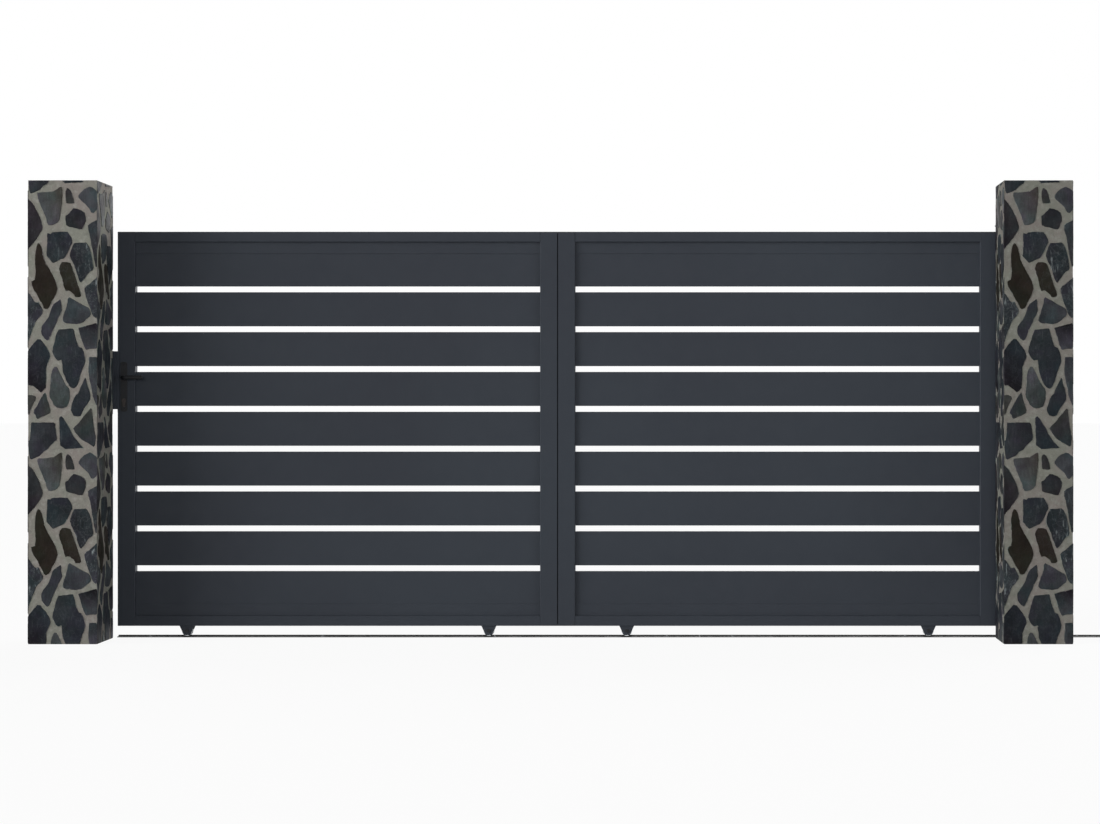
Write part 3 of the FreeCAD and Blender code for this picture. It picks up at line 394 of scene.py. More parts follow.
def clipOutline(points, axis, limit, keepBelow):
    # cuts an outline at one straight line along the face
    result = []
    for index, point in enumerate(points):
        before = points[index - 1]
        inside = (point[axis] <= limit) if keepBelow else (point[axis] >= limit)
        insideBefore = (before[axis] <= limit) if keepBelow else (before[axis] >= limit)
        if inside != insideBefore:
            share = (limit - before[axis]) / (point[axis] - before[axis])
            result.append(tuple(before[k] + (point[k] - before[k]) * share for k in (0, 1)))
        if inside:
            result.append(point)
    return result


def roughen(points, look, seed):
    # adds points along the straight runs and shakes them, but keeps what lies on a face's edge
    result = []
    top, near, closest = look["tall"] - look["underTop"], look["edgeNear"], look["closest"]
    for index, point in enumerate(points):
        before = points[index - 1]
        run = math.dist(before, point)
        count = max(1, round(run / look["edgeStep"]))
        for step in range(1, count + 1):
            across, up = (before[k] + (point[k] - before[k]) * step / count for k in (0, 1))
            onEdge = across < near or across > look["wide"] - near
            onEnd = up < near or up > top - near
            cell = Vector((across * look["raggedSize"], up * look["raggedSize"], seed))
            shake = noise.cell_vector(cell) - Vector((0.5, 0.5, 0.5))
            across += 0 if onEdge else shake.x * look["ragged"]
            up = min(top, max(0.0, up + (0 if onEnd else shake.y * look["ragged"])))
            if not result or math.dist(result[-1], (across, up)) > closest:
                result.append((across, up))
    if len(result) > 2 and math.dist(result[0], result[-1]) <= closest:
        result.pop()
    return result


def alongRun(start, end, point):
    # a point's distance from a straight run, and how far along it the nearest place lies, from 0 to 1
    alongX, alongY = end[0] - start[0], end[1] - start[1]
    length = alongX * alongX + alongY * alongY
    share = ((point[0] - start[0]) * alongX + (point[1] - start[1]) * alongY) / length if length else 0
    share = min(1.0, max(0.0, share))
    gap = math.hypot(start[0] + alongX * share - point[0], start[1] + alongY * share - point[1])
    return gap, share


def distanceTo(point, outline):
    return min(alongRun(outline[index - 1], end, point)[0] for index, end in enumerate(outline))


def orderRound(corners, points, outline):
    # the corners' places in their list, sorted by where each lies along the outline
    def along(corner):
        nearest = []
        for index, end in enumerate(outline):
            gap, share = alongRun(outline[index - 1], end, points[corner])
            nearest.append((gap, index + share))
        return min(nearest)[1]
    return sorted(range(len(corners)), key=lambda index: along(corners[index]))


def isInside(point, outline):
    inside = False
    for index, (x1, y1) in enumerate(outline):
        x0, y0 = outline[index - 1]
        if (y0 > point[1]) != (y1 > point[1]) and point[0] < (x1 - x0) * (point[1] - y0) / (y1 - y0) + x0:
            inside = not inside
    return inside


def innerRing(outline, inset):
    # points a little inside the outline, one for each corner that has room for it
    area = sum(a[0] * b[1] - b[0] * a[1] for a, b in zip(outline[-1:] + outline[:-1], outline))
    turn = 1 if area > 0 else -1
    ring = []
    for index, point in enumerate(outline):
        before, after = outline[index - 1], outline[(index + 1) % len(outline)]
        alongX, alongY = after[0] - before[0], after[1] - before[1]
        length = math.hypot(alongX, alongY) or 1
        spot = (point[0] - alongY / length * inset * turn, point[1] + alongX / length * inset * turn)
        if isInside(spot, outline) and distanceTo(spot, outline) > inset * 0.8:
            ring.append(spot)
    return ring


def stoneDepth(point, gap, look, seed, lift):
    # how far below the pillar's face a point of a stone lies, in mm
    edge = max(0.0, 1 - gap / look["edgeSoft"]) ** look["edgeRound"] * (look["joint"] + look["rooted"])
    spot = Vector((point[0] * look["reliefSize"], point[1] * look["reliefSize"], seed))
    swell = (noise.fractal(spot, *look["reliefNoise"]) + look["reliefBase"]) * look["relief"]
    return edge + max(0.0, swell) + lift


def toneAt(point, gap, outline, stone, look, seed):
    # the stone's first tone runs into its second one along its lean, with painted highlights in pale patches
    # along its edge
    low, high, lean = stoneTones[stone[0]], stoneTones[stone[1]], math.radians(stone[2])
    reach = [corner[0] * math.cos(lean) + corner[1] * math.sin(lean) for corner in outline]
    here = point[0] * math.cos(lean) + point[1] * math.sin(lean)
    share = (here - min(reach)) / (max(reach) - min(reach))
    share = min(1.0, max(0.0, (share - 0.5) * look["steep"] + 0.5))
    tone = [a + (b - a) * share for a, b in zip(low, high)]
    # painted highlight: a pale colour is mixed in near the stone's edge, in patches
    if gap < look["edgeHighlight"]:
        size = look["edgeHighlightSize"]
        edgeHighlight = noise.noise(Vector((point[0] * size, point[1] * size, seed + 9.0))) * look["edgeHighlightGain"]
        edgeHighlight = min(look["edgeHighlightMost"], max(0.0, edgeHighlight))
        tone = [a + (b - a) * edgeHighlight for a, b in zip(tone, stoneTones["highlightPale"])]
    return [max(0.0, (value - look["sheen"]) / look["gain"]) for value in tone[:3]] + [1.0]


def addShell(mesh, outline, look, seed, lift, place, stone):
    # one stone: its face, its rounded edge and its hidden underside, closed
    extra = innerRing(outline, look["firstRing"]) + innerRing(outline, look["edgeSoft"])
    low = [min(point[k] for point in outline) for k in (0, 1)]
    high = [max(point[k] for point in outline) for k in (0, 1)]
    step = look["fill"]
    for column in range(int((high[0] - low[0]) / step) + 1):
        for row in range(int((high[1] - low[1]) / step) + 1):
            shift = noise.noise_vector(Vector((column * 1.7, row * 1.3, seed))) * step * look["fillShake"]
            spot = (low[0] + (column + 0.5) * step + shift.x, low[1] + (row + 0.5) * step + shift.y)
            if isInside(spot, outline) and distanceTo(spot, outline) > look["edgeSoft"] + look["fillClear"]:
                extra.append(spot)
    loop = list(range(len(outline)))
    spots = [Vector(spot) for spot in outline + extra]
    points, _, faces, _, _, _ = delaunay_2d_cdt(spots, [], [loop], 1, look["weld"])
    start = len(mesh["points"])
    rim = {}
    for corner, point in enumerate(points):
        gap = distanceTo(point, outline)
        depth = stoneDepth(point, gap, look, seed, lift)
        if gap < look["rimNear"]:
            depth = look["joint"] + look["rooted"]
            rim[corner] = start + corner
        mesh["points"].append(place(point, depth))
        mesh["colours"].extend(toneAt(point, gap, outline, stone, look, seed))
    order = orderRound(list(rim), points, outline)
    rimPoints = [Vector(points[k]) for k in rim]
    _, _, backFaces, origin, _, _ = delaunay_2d_cdt(rimPoints, [], [order], 1, look["backWeld"])
    keys = list(rim.values())
    under = [[keys[origin[corner][0]] for corner in reversed(face)] for face in backFaces]
    for face in [[start + corner for corner in face] for face in faces] + under:
        mesh["faces"].append(face)
        mesh["kinds"].append((stone[3], seed, 0))


def facePlacer(side, centreX, look):
    # turns a place on a face and a depth below it into a point in metres
    half = look["wide"] / 2
    turn = Matrix.Rotation(math.radians(90 * side), 3, "Z")

    def place(point, depth):
        across, up = point[0], point[1]
        under = min(depth, look["joint"] + look["rooted"])
        across = min(max(across, under), look["wide"] - under)  # mitred at the pillar's corners
        spot = turn @ Vector((across - half, depth - half, up))
        return (spot.x * mm + centreX, spot.y * mm, spot.z * mm)
    return place


def addMortar(mesh, place, look, side):
    # a grid over one face, as deep as the joints, with a slightly uneven surface
    columns = round(look["wide"] / look["mortarStep"])
    rows = round(look["tall"] / look["mortarStep"])
    start = len(mesh["points"])
    joint = look["joint"]
    for row in range(rows + 1):
        for column in range(columns + 1):
            across = joint + (look["wide"] - 2 * joint) * column / columns
            up = look["tall"] * row / rows
            onBorder = column in (0, columns) or row in (0, rows)
            spot = Vector((across * look["mortarSize"], up * look["mortarSize"], side * 7.3))
            dip = (noise.fractal(spot, *look["mortarNoise"]) + look["mortarBase"]) * look["mortarRelief"]
            mesh["points"].append(place((across, up), joint + (0 if onBorder else max(0.0, dip))))
            mesh["colours"].extend((0.0, 0.0, 0.0, 1.0))
    stride = columns + 1
    for row in range(rows):
        for column in range(columns):
            corner = start + row * stride + column
            mesh["faces"].append([corner, corner + 1, corner + stride + 1, corner + stride])
            mesh["kinds"].append((0.0, 0.0, 1))


def closeEnds(mesh, centreX, look):
    # the flat mortar top and the foot of the core
    half = (look["wide"] / 2 - look["joint"]) * mm
    for height, order in ((look["tall"] * mm, (0, 1, 2, 3)), (0.0, (3, 2, 1, 0))):
        start = len(mesh["points"])
        for x, y in ((-half, -half), (half, -half), (half, half), (-half, half)):
            mesh["points"].append((centreX + x, y, height))
            mesh["colours"].extend((0.0, 0.0, 0.0, 1.0))
        mesh["faces"].append([start + k for k in order])
        mesh["kinds"].append((0.0, 0.0, 1))


def makePillar(name, node, finishes, paintedShade, look):
    low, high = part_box(node)
    centreX = (low[0] + high[0]) / 2
    mesh = {"points": [], "faces": [], "colours": [], "kinds": []}
    count = 0
    for side in range(4):
        place = facePlacer(side, centreX, look)
        addMortar(mesh, place, look, side + centreX)
        for number, stone in enumerate(stones):
            for lap in (-1, 0, 1):
                shape = [(across, up + lap * look["repeat"]) for across, up in stone[-1]]
                shape = clipOutline(shape, 1, 0.0, False)
                shape = clipOutline(shape, 1, look["tall"] - look["underTop"], True) if shape else shape
                heights = [up for across, up in shape]
                if len(shape) < 3 or max(heights) - min(heights) < look["leastTall"]:
                    continue
                seed = number * 3.1 + lap * 17.7 + side * 53.3 + centreX  # another one for every stone
                shape = roughen(shape, look, seed)
                lift = look["lift"] * (1 + noise.noise(Vector((seed, 0.5, 0.5))))
                addShell(mesh, shape, look, seed, lift, place, stone)
                count += 1
    closeEnds(mesh, centreX, look)
    data = bpy.data.meshes.new(name)
    data.from_pydata(mesh["points"], [], mesh["faces"])
    flecks, seeds, slots = zip(*mesh["kinds"])
    data.attributes.new("stoneTone", "FLOAT_COLOR", "POINT").data.foreach_set("color", mesh["colours"])
    # the last of these attributes is the painted shade of the whole pillar
    for title, values in (("stoneFleck", flecks), ("stoneSeed", seeds), ("paintedPillarShade", [paintedShade] * len(flecks))):
        data.attributes.new(title, "FLOAT", "FACE").data.foreach_set("value", values)
    data.polygons.foreach_set("material_index", slots)
    for finish in finishes:
        data.materials.append(finish)
    data.validate()
    piece = addObject(name, data)
    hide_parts(node)
    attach(piece, "fixed_parts")
    triangles = sum(len(face) - 2 for face in mesh["faces"])
    print(name, "has", count, "stones,", triangles, "triangles")


slateLook = {
    "cloudSize": 19.0, "cloud": (0.7, 1.32), "upright": (1.0, 1.0, 0.2), "streakSize": 150.0,
    "streak": (0.8, 1.2), "fineSize": 260.0, "fineSpan": (0.3, 0.72), "fine": (0.85, 1.17),
    "ridgeSize": 34.0, "tintSize": 14.0,
    "violet": (1.08, 0.94, 1.08, 1.0), "violetSpan": (0.52, 0.62),
    "teal": (0.88, 1.06, 1.04, 1.0), "tealSpan": (0.48, 0.38),
    "vein": rgb(104, 110, 112), "veinWide": 0.022, "veinStrong": 0.35,
    "speck": rgb(138, 146, 148), "gritSize": 90.0, "gritSpan": (0.57, 0.66), "gritStrong": 0.85,
    "patchSpan": (0.46, 0.56), "patchy": (0.1, 1.0), "rough": (0.72, 0.5), "shine": 0.08,
    "ridgeBump": (0.5, 0.0012), "streakBump": (0.4, 0.0007), "fineBump": (0.4, 0.0004),
}


def makeSlate(look):
    material, tree, shader, place = startMaterial("slateStones")
    fleck = attributeNode(tree, "stoneFleck")
    # every stone takes its patterns from another place
    seed = attributeNode(tree, "stoneSeed")
    offset = addNode(tree, "ShaderNodeCombineXYZ")
    for socket in ("X", "Y", "Z"):
        tree.links.new(seed, offset.inputs[socket])
    moved = addNode(tree, "ShaderNodeVectorMath", operation="ADD")
    tree.links.new(place, moved.inputs[0])
    tree.links.new(offset.outputs["Vector"], moved.inputs[1])
    spot = moved.outputs["Vector"]
    drawnOut = stretched(tree, spot, look["upright"])
    cloud = noiseNode(tree, spot, look["cloudSize"], detail=5.0, roughness=0.6)
    tint = noiseNode(tree, spot, look["tintSize"])
    streak = noiseNode(tree, drawnOut, look["streakSize"], detail=3.0, roughness=0.6)
    fine = noiseNode(tree, spot, look["fineSize"], detail=4.0, roughness=0.6)
    ridge = noiseNode(tree, spot, look["ridgeSize"], detail=5.0, roughness=0.6)
    grit = noiseNode(tree, drawnOut, look["gritSize"], detail=3.0, roughness=0.7)
    # lighter and darker patches, and the fine upright grain of split slate
    base = shadeBy(tree, cloud, mostOfNoise, look["cloud"], attributeNode(tree, "stoneTone", "Color"))
    base = shadeBy(tree, streak, mostOfNoise, look["streak"], base)
    # a violet or a blue green cast in some places
    for cast in ("violet", "teal"):
        toned = mixColour(tree, 1.0, base, look[cast], "MULTIPLY")
        base = blendBy(tree, tint, look[cast + "Span"], base, toned)
    # pale veins and specks, where a stone is flecked
    near = mathNode(tree, "ABSOLUTE", mathNode(tree, "SUBTRACT", ridge, 0.5))
    vein = rangeNode(tree, near, (0.0, look["veinWide"]), (look["veinStrong"], 0.0))
    base = mixColour(tree, mathNode(tree, "MULTIPLY", vein, fleck), base, look["vein"])
    patchy = rangeNode(tree, cloud, look["patchSpan"], look["patchy"])
    speck = rangeNode(tree, grit, look["gritSpan"], (0.0, look["gritStrong"]))
    speck = mathNode(tree, "MULTIPLY", speck, patchy)
    speck = mathNode(tree, "MULTIPLY", speck, mathNode(tree, "MULTIPLY", fleck, fleck))
    base = mixColour(tree, speck, base, look["speck"])
    base = shadeBy(tree, fine, look["fineSpan"], look["fine"], base)
    # painted shade: the stone colour is multiplied by the pillar's painted shade value
    base = mixColour(tree, 1.0, base, attributeNode(tree, "paintedPillarShade"), "MULTIPLY")
    setSurface(tree, shader, base, rangeNode(tree, cloud, mostOfNoise, look["rough"]), look["shine"])
    coarse = bumpFrom(tree, shader, ridge, *look["ridgeBump"])
    layers = bumpFrom(tree, shader, streak, *look["streakBump"], coarse)
    bumpFrom(tree, shader, fine, *look["fineBump"], layers)
    return material


mortarLook = {
    "green": rgb(124, 125, 116), "red": rgb(128, 122, 117), "patchSize": 7.0, "patchSpan": (0.4, 0.6),
    "dirt": rgb(103, 104, 97), "dirtSize": 38.0, "dirtSpan": (0.52, 0.72), "dirtMost": 0.7,
    "crumb": rgb(152, 152, 146), "crumbSize": 55.0, "crumbSpan": (0.5, 0.72), "crumbMost": 0.6,
    "sandSize": 420.0, "sandSpan": (0.3, 0.75), "sand": (0.86, 1.16), "rough": (0.84, 0.95), "shine": 0.15,
    "dirtBump": (0.4, 0.0015), "sandBump": (0.6, 0.0006),
}


def makeMortar(look):
    material, tree, shader, place = startMaterial("limeMortar")
    patch = noiseNode(tree, place, look["patchSize"])
    dirt = noiseNode(tree, place, look["dirtSize"], detail=5.0, roughness=0.65)
    crumb = noiseNode(tree, place, look["crumbSize"], detail=4.0, roughness=0.65)
    sand = noiseNode(tree, place, look["sandSize"], detail=3.0, roughness=0.7)
    base = blendBy(tree, patch, look["patchSpan"], look["green"], look["red"])
    base = blendBy(tree, dirt, look["dirtSpan"], base, look["dirt"], look["dirtMost"])
    base = blendBy(tree, crumb, look["crumbSpan"], base, look["crumb"], look["crumbMost"])
    base = shadeBy(tree, sand, look["sandSpan"], look["sand"], base)
    # painted shade: the mortar colour is multiplied by the pillar's painted shade value
    base = mixColour(tree, 1.0, base, attributeNode(tree, "paintedPillarShade"), "MULTIPLY")
    setSurface(tree, shader, base, rangeNode(tree, dirt, mostOfNoise, look["rough"]), look["shine"])
    coarse = bumpFrom(tree, shader, dirt, *look["dirtBump"])
    bumpFrom(tree, shader, sand, *look["sandBump"], coarse)
    return material


masonryFinishes = [makeSlate(slateLook), makeMortar(mortarLook)]
for node, paintedShade in paintedPillarShade.items():
    makePillar(node + "_cladding", node, masonryFinishes, paintedShade, stoneLook)

# screw and bolt heads: their tree's inputs, and the sides of a washer and of a driver's socket
headInputs = {
    "Head Sides": "Int", "Head Radius": "Float", "Top Radius": "Float", "Head Height": "Float",
    "Washer Radius": "Float", "Washer Height": "Float", "Socket Radius": "Float", "Socket Depth": "Float",
    "Turn": "Vector", "Finish": "Material",
}
headSides = {"washer": 32, "socket": 6}


def makeFastenerTree(sides):
    # one head on every point of the mesh that carries the tree
    tree = bpy.data.node_groups.new("fastenerHeads", "GeometryNodeTree")
    face = tree.interface
    face.new_socket("Geometry", in_out="INPUT", socket_type="NodeSocketGeometry")
    inputs = {}
    for name, kind in headInputs.items():
        inputs[name] = face.new_socket(name, in_out="INPUT", socket_type="NodeSocket" + kind).identifier
    face.new_socket("Geometry", in_out="OUTPUT", socket_type="NodeSocketGeometry")
    size = tree.nodes.new("NodeGroupInput").outputs
    link = tree.links.new

    def makeSolid(kind, values, **sizes):
        node = addNode(tree, kind, values, fill_type="NGON")
        for socket, source in sizes.items():
            link(source, node.inputs[socket.replace("_", " ")])
        return node.outputs["Mesh"]

    def lifted(mesh, height):
        move = tree.nodes.new("GeometryNodeTransform")
        up = tree.nodes.new("ShaderNodeCombineXYZ")
        link(height, up.inputs["Z"])
        link(mesh, move.inputs["Geometry"])
        link(up.outputs["Vector"], move.inputs["Translation"])
        return move.outputs["Geometry"]

    washer = makeSolid("GeometryNodeMeshCylinder", {"Vertices": sides["washer"]},
                       Radius=size["Washer Radius"], Depth=size["Washer Height"])
    head = makeSolid("GeometryNodeMeshCone", {}, Vertices=size["Head Sides"], Depth=size["Head Height"],
                     Radius_Bottom=size["Head Radius"], Radius_Top=size["Top Radius"])
    twice = mathNode(tree, "MULTIPLY", size["Socket Depth"], 2.0)
    drill = makeSolid("GeometryNodeMeshCylinder", {"Vertices": sides["socket"]},
                      Radius=size["Socket Radius"], Depth=twice)
    total = mathNode(tree, "ADD", size["Washer Height"], size["Head Height"])
    cut = addNode(tree, "GeometryNodeMeshBoolean", operation="DIFFERENCE", solver="EXACT")
    link(lifted(head, size["Washer Height"]), cut.inputs["Mesh 1"])
    link(lifted(drill, total), cut.inputs["Mesh 2"])
    join = tree.nodes.new("GeometryNodeJoinGeometry")
    link(lifted(washer, mathNode(tree, "MULTIPLY", size["Washer Height"], 0.5)), join.inputs["Geometry"])
    link(cut.outputs["Mesh"], join.inputs["Geometry"])
    copies = tree.nodes.new("GeometryNodeInstanceOnPoints")
    link(size["Geometry"], copies.inputs["Points"])
    link(join.outputs["Geometry"], copies.inputs["Instance"])
    link(size["Turn"], copies.inputs["Rotation"])
    real = tree.nodes.new("GeometryNodeRealizeInstances")
    link(copies.outputs["Instances"], real.inputs["Geometry"])
    paint = tree.nodes.new("GeometryNodeSetMaterial")
    link(real.outputs["Geometry"], paint.inputs["Geometry"])
    link(size["Finish"], paint.inputs["Material"])
    link(paint.outputs["Geometry"], tree.nodes.new("NodeGroupOutput").inputs["Geometry"])
    return tree, inputs


fastenerTree, fastenerInputs = makeFastenerTree(headSides)
quarter = math.radians(90)
aimed = {"street": (quarter, 0, 0), "yard": (-quarter, 0, 0), "up": (0, 0, 0)}


def makeFasteners(name, body, finish, aim, spots, look):
    # the spots are in mm, and so are the sizes in the look
    points = bpy.data.meshes.new(name + "_host")
    points.from_pydata([tuple(value * mm for value in spot) for spot in spots], [], [])
    host = addObject(name + "_host", points)
    modifier = host.modifiers.new("heads", "NODES")
    modifier.node_group = fastenerTree
    for key, value in look.items():
        modifier[fastenerInputs[key]] = value * mm if isinstance(value, float) else value
    modifier[fastenerInputs["Turn"]] = aimed[aim]
    modifier[fastenerInputs["Finish"]] = finish
    graph = bpy.context.evaluated_depsgraph_get()
    data = bpy.data.meshes.new_from_object(host.evaluated_get(graph))
    data.name = name
    bpy.data.objects.remove(host)
    piece = addObject(name, data)
    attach(piece, body)
    print(name, "has", len(spots), "heads,", len(data.polygons), "faces")


panHead = {
    "Head Sides": 24, "Head Radius": 5.0, "Top Radius": 3.6, "Head Height": 2.0,
    "Washer Radius": 5.0, "Washer Height": 0.5, "Socket Radius": 2.0, "Socket Depth": 1.2,
}
anchorHead = {
    "Head Sides": 6, "Head Radius": 6.3, "Top Radius": 6.0, "Head Height": 4.2,
    "Washer Radius": 7.8, "Washer Height": 1.2, "Socket Radius": 1.0, "Socket Depth": 0.3,
}
bigBolt = {
    "Head Sides": 6, "Head Radius": 9.4, "Top Radius": 9.0, "Head Height": 6.4,
    "Washer Radius": 11.5, "Washer Height": 1.8, "Socket Radius": 1.2, "Socket Depth": 0.3,
}
plateScrew = {
    "Head Sides": 24, "Head Radius": 4.2, "Top Radius": 3.2, "Head Height": 1.0,
    "Washer Radius": 4.2, "Washer Height": 0.3, "Socket Radius": 1.6, "Socket Depth": 0.8,
}
leafAxis = 197.0  # the leaf's middle plane and the rail's, behind the pillars' middle


def spotsAt(acrosses, aways, heights):
    return [(across, away, height) for across in acrosses for away in aways for height in heights]


def besideAxis(side):
    return (leafAxis - side, leafAxis + side)


# the ground rail's anchors, in each length of the rail
anchorLook = {"lengths": 3, "pairs": 4, "gap": 0.6, "inset": 130.0, "side": 22.0, "top": 3.0}
railLow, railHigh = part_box("ground_rail")
railPitch = ((railHigh[0] - railLow[0]) / mm + anchorLook["gap"]) / anchorLook["lengths"]
pairPitch = (railPitch - anchorLook["gap"] - 2 * anchorLook["inset"]) / (anchorLook["pairs"] - 1)
pairPlaces = [railLow[0] / mm + railPitch * length + anchorLook["inset"] + pairPitch * number
              for length in range(anchorLook["lengths"]) for number in range(anchorLook["pairs"])]
anchors = spotsAt(pairPlaces, besideAxis(anchorLook["side"]), [anchorLook["top"]])
makeFasteners("rail_anchor_screws", "fixed_parts", zincSteel, "up", anchors, panHead)

stopLook = {"along": (20.0, 78.0), "side": 26.0, "top": 6.0}
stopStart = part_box("rail_end_stop")[0][0] / mm
stopPlaces = [stopStart + along for along in stopLook["along"]]
stopBolts = spotsAt(stopPlaces, besideAxis(stopLook["side"]), [stopLook["top"]])
makeFasteners("end_stop_bolts", "fixed_parts", zincSteel, "up", stopBolts, anchorHead)

keepLook = {"across": 97.0, "back": 139.0, "heights": (938.0, 1109.0)}
keepScrews = spotsAt([keepLook["across"]], [keepLook["back"]], keepLook["heights"])
makeFasteners("keep_screws", "fixed_parts", zincSteel, "yard", keepScrews, anchorHead)

bracketLook = {"across": (3677.0, 3861.0), "back": 141.0, "heights": (1670.0, 1716.0)}
bracketBolts = spotsAt(bracketLook["across"], [bracketLook["back"]], bracketLook["heights"])
makeFasteners("bracket_bolts", "fixed_parts", zincSteel, "yard", bracketBolts, bigBolt)

plateLook = {"across": 169.0, "inset": 11.0}
plateLow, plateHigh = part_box("lock_plates")
plateHeights = (plateLow[2] / mm + plateLook["inset"], plateHigh[2] / mm - plateLook["inset"])
for aim, away in (("street", plateLow[1] / mm), ("yard", plateHigh[1] / mm)):
    plateScrews = spotsAt([plateLook["across"]], [away], plateHeights)
    makeFasteners("plate_screws_" + aim, "leaf", darkHardware, aim, plateScrews, plateScrew)


def addPrism(points, faces, near, far, flip):
    # a closed solid between two rings with the same number of points
    start, count = len(points), len(near)
    points += near + far
    sides = [(k, (k + 1) % count, (k + 1) % count + count, k + count) for k in range(count)]
    caps = [tuple(reversed(range(count))), tuple(range(count, 2 * count))]
    for side in sides + caps:
        faces.append([start + k for k in (reversed(side) if flip else side)])


def addPiece(name, points, faces, finish, body):
    data = bpy.data.meshes.new(name)
    data.from_pydata(points, [], faces)
    data.materials.append(finish)
    piece = addObject(name, data)
    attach(piece, body)
    print(name, "has", len(faces), "faces")


# the plugs of the profile cylinder, each with its keyway, sizes in mm
plugLook = {
    "round": 6.4, "barrel": 8.5, "proud": 0.9, "sunk": 0.2, "slotWide": 2.2, "slotHigh": 9.2, "sides": 40,
}


def makePlugs(look, node):
    # a round plug on each end of the cylinder; the keyway is open at its foot
    low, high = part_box(node)
    centreX, centreZ = (low[0] + high[0]) / 2, high[2] - look["barrel"] * mm
    half, radius = look["slotWide"] / 2, look["round"]
    first = math.asin(half / radius)
    turns = [first + (2 * math.pi - 2 * first) * k / look["sides"] for k in range(look["sides"] + 1)]
    outline = [(radius * math.sin(turn), -radius * math.cos(turn)) for turn in turns]
    outline += [(-half, look["slotHigh"] - radius), (half, look["slotHigh"] - radius)]
    points, faces = [], []
    for face, outward in ((low[1], -1), (high[1], 1)):
        rings = [[(centreX + x * mm, face + outward * away * mm, centreZ + z * mm) for x, z in outline]
                 for away in (-look["sunk"], look["proud"])]
        addPrism(points, faces, rings[0], rings[1], outward == 1)
    addPiece("cylinder_plugs", points, faces, darkBarrel, "leaf")


makePlugs(plugLook, "lock_cylinder")

# the nearly black sealing strips between the two bolted panels, which also stand as painted shade in the
# seam, sizes in mm
sealShadeStripLook = {"round": 3.0, "below": 0.15, "deep": 1.6, "clear": 0.05, "endGap": 4.0}


def makeSealShadeStrips(look, node):
    # a strip lies in each groove between the rounded corners of the meeting stiles, and paints the groove's
    # shadow
    low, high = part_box(node)
    seam, bottom, top = high[0], low[2] + look["endGap"] * mm, high[2] - look["endGap"] * mm

    def halfGap(depth):
        return look["round"] - math.sqrt(look["round"] ** 2 - (look["round"] - depth) ** 2) - look["clear"]
    points, faces = [], []
    for face, inward in ((low[1], 1), (high[1], -1)):
        ring = []
        for depth in (look["below"], look["deep"]):
            half, deep = halfGap(depth) * mm, face + inward * depth * mm
            ring.append([(seam - half, deep), (seam + half, deep)])
        corners = ring[0] + ring[1][::-1]
        foot, head = [[(x, y, z) for x, y in corners] for z in (bottom, top)]
        addPrism(points, faces, foot, head, inward == -1)
    addPiece("seal_and_shade_strips", points, faces, sealAndShadeRubber, "leaf")


makeSealShadeStrips(sealShadeStripLook, "left_meeting_stile")


def seenByCamera(tree):
    # 1 for camera, glossy and transmission rays, so that metal shows the white ground too
    path = tree.nodes.new("ShaderNodeLightPath").outputs
    seen = mathNode(tree, "MAXIMUM", path["Is Camera Ray"], path["Is Glossy Ray"])
    return mathNode(tree, "MAXIMUM", seen, path["Is Transmission Ray"])


def mixShaders(tree, factor, first, second, target):
    mix = tree.nodes.new("ShaderNodeMixShader")
    for index, source in enumerate((factor, first, second)):
        tree.links.new(source, mix.inputs[index])
    tree.links.new(mix.outputs["Shader"], target.inputs["Surface"])


# the floor, sizes in metres; paper is how far it shows as plain white paper to the camera
floorLook = {
    "size": 400.0, "drop": 0.0006, "tone": rgb(248, 248, 248), "cloud": rgb(250, 250, 250), "cloudSize": 1.4,
    "rough": 0.9, "paper": 0.93,
}


def makeFloor(look):
    half = look["size"] / 2
    data = bpy.data.meshes.new("floor")
    corners = [(-half, -half), (half, -half), (half, half), (-half, half)]
    data.from_pydata([(x, y, -look["drop"]) for x, y in corners], [], [(0, 1, 2, 3)])
    material, tree, shader, place = startMaterial("paleFloor")
    cloud = noiseNode(tree, place, look["cloudSize"])
    tree.links.new(mixColour(tree, cloud, look["tone"], look["cloud"]), shader.inputs["Base Color"])
    shader.inputs["Roughness"].default_value = look["rough"]
    shader.inputs["Specular IOR Level"].default_value = 0.0
    white = mathNode(tree, "MULTIPLY", seenByCamera(tree), look["paper"])
    glow = addNode(tree, "ShaderNodeEmission", {"Color": (1, 1, 1, 1), "Strength": 1.0})
    mixShaders(tree, white, shader.outputs["BSDF"], glow.outputs["Emission"], tree.nodes["Material Output"])
    data.materials.append(material)
    floor = addObject("floor", data)


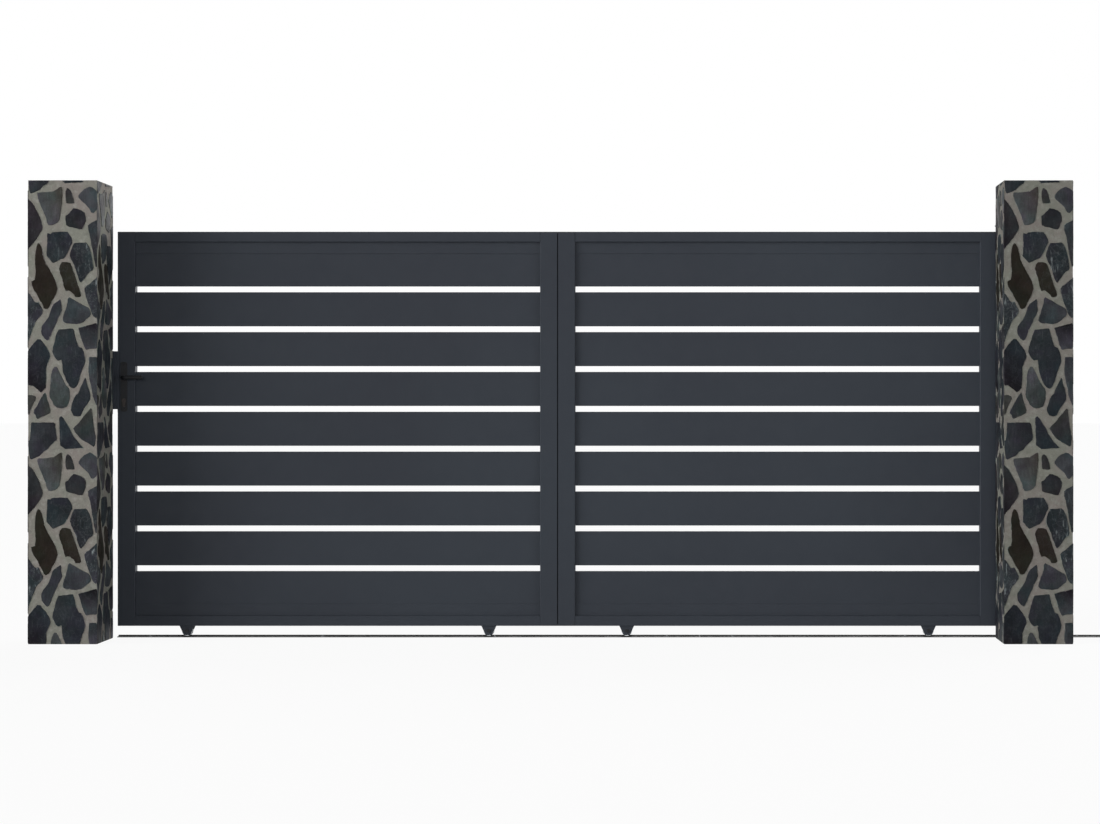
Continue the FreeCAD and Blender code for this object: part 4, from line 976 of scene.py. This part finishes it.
# suns: strength, size, turn from straight in front and height over the ground, in degrees
lightLook = {
    "sky": 0.08,
    "left": 4.25, "leftSize": 48.0, "leftTurn": -62.0, "leftHigh": 6.0,
    "right": 0.85, "rightSize": 26.0, "rightTurn": 64.0, "rightHigh": 6.0,
    "front": 0.5, "frontSize": 10.0, "frontTurn": 0.0, "frontHigh": 5.0,
    "fill": 2.2, "fillSize": 60.0, "fillTurn": 152.0, "fillHigh": 24.0,
}


def makeLight(look):
    world = bpy.data.worlds.new("studio")
    bpy.context.scene.world = world
    world.use_nodes = True
    tree = world.node_tree
    tree.nodes.clear()
    sky = addNode(tree, "ShaderNodeBackground", {"Color": (1, 1, 1, 1), "Strength": look["sky"]})
    paper = addNode(tree, "ShaderNodeBackground", {"Color": (1, 1, 1, 1), "Strength": 1.0})
    output = tree.nodes.new("ShaderNodeOutputWorld")
    mixShaders(tree, seenByCamera(tree), sky.outputs["Background"], paper.outputs["Background"], output)
    for name in ("left", "right", "front", "fill"):
        lamp = bpy.data.lights.new(name, "SUN")
        lamp.energy = look[name]
        lamp.angle = math.radians(look[name + "Size"])
        lit = addObject(name, lamp)
        lit.rotation_euler = (math.radians(90 - look[name + "High"]), 0, math.radians(look[name + "Turn"]))


# the camera, in metres, with the sensor in mm; the picture is measured on the leaf's plane
cameraLook = {
    "distance": 9.8, "streetFace": -0.135, "height": 0.8970, "across": 2.435, "pictureMiddle": 1.883,
    "pictureWide": 4.24765, "sensor": 36.0, "farthest": 200.0,
}


def makeCamera(look):
    data = bpy.data.cameras.new("camera")
    data.sensor_width = look["sensor"]
    data.lens = look["sensor"] * look["distance"] / look["pictureWide"]
    data.shift_x = (look["pictureMiddle"] - look["across"]) / look["pictureWide"]
    data.clip_end = look["farthest"]
    camera = addObject("camera", data)
    camera.location = (look["across"], look["streetFace"] - look["distance"], look["height"])
    camera.rotation_euler = (math.radians(90), 0, 0)
    bpy.context.scene.camera = camera


makeFloor(floorLook)
makeLight(lightLook)
makeCamera(cameraLook)
bpy.context.scene.view_settings.view_transform = "Standard"
print("floor, light and camera set")
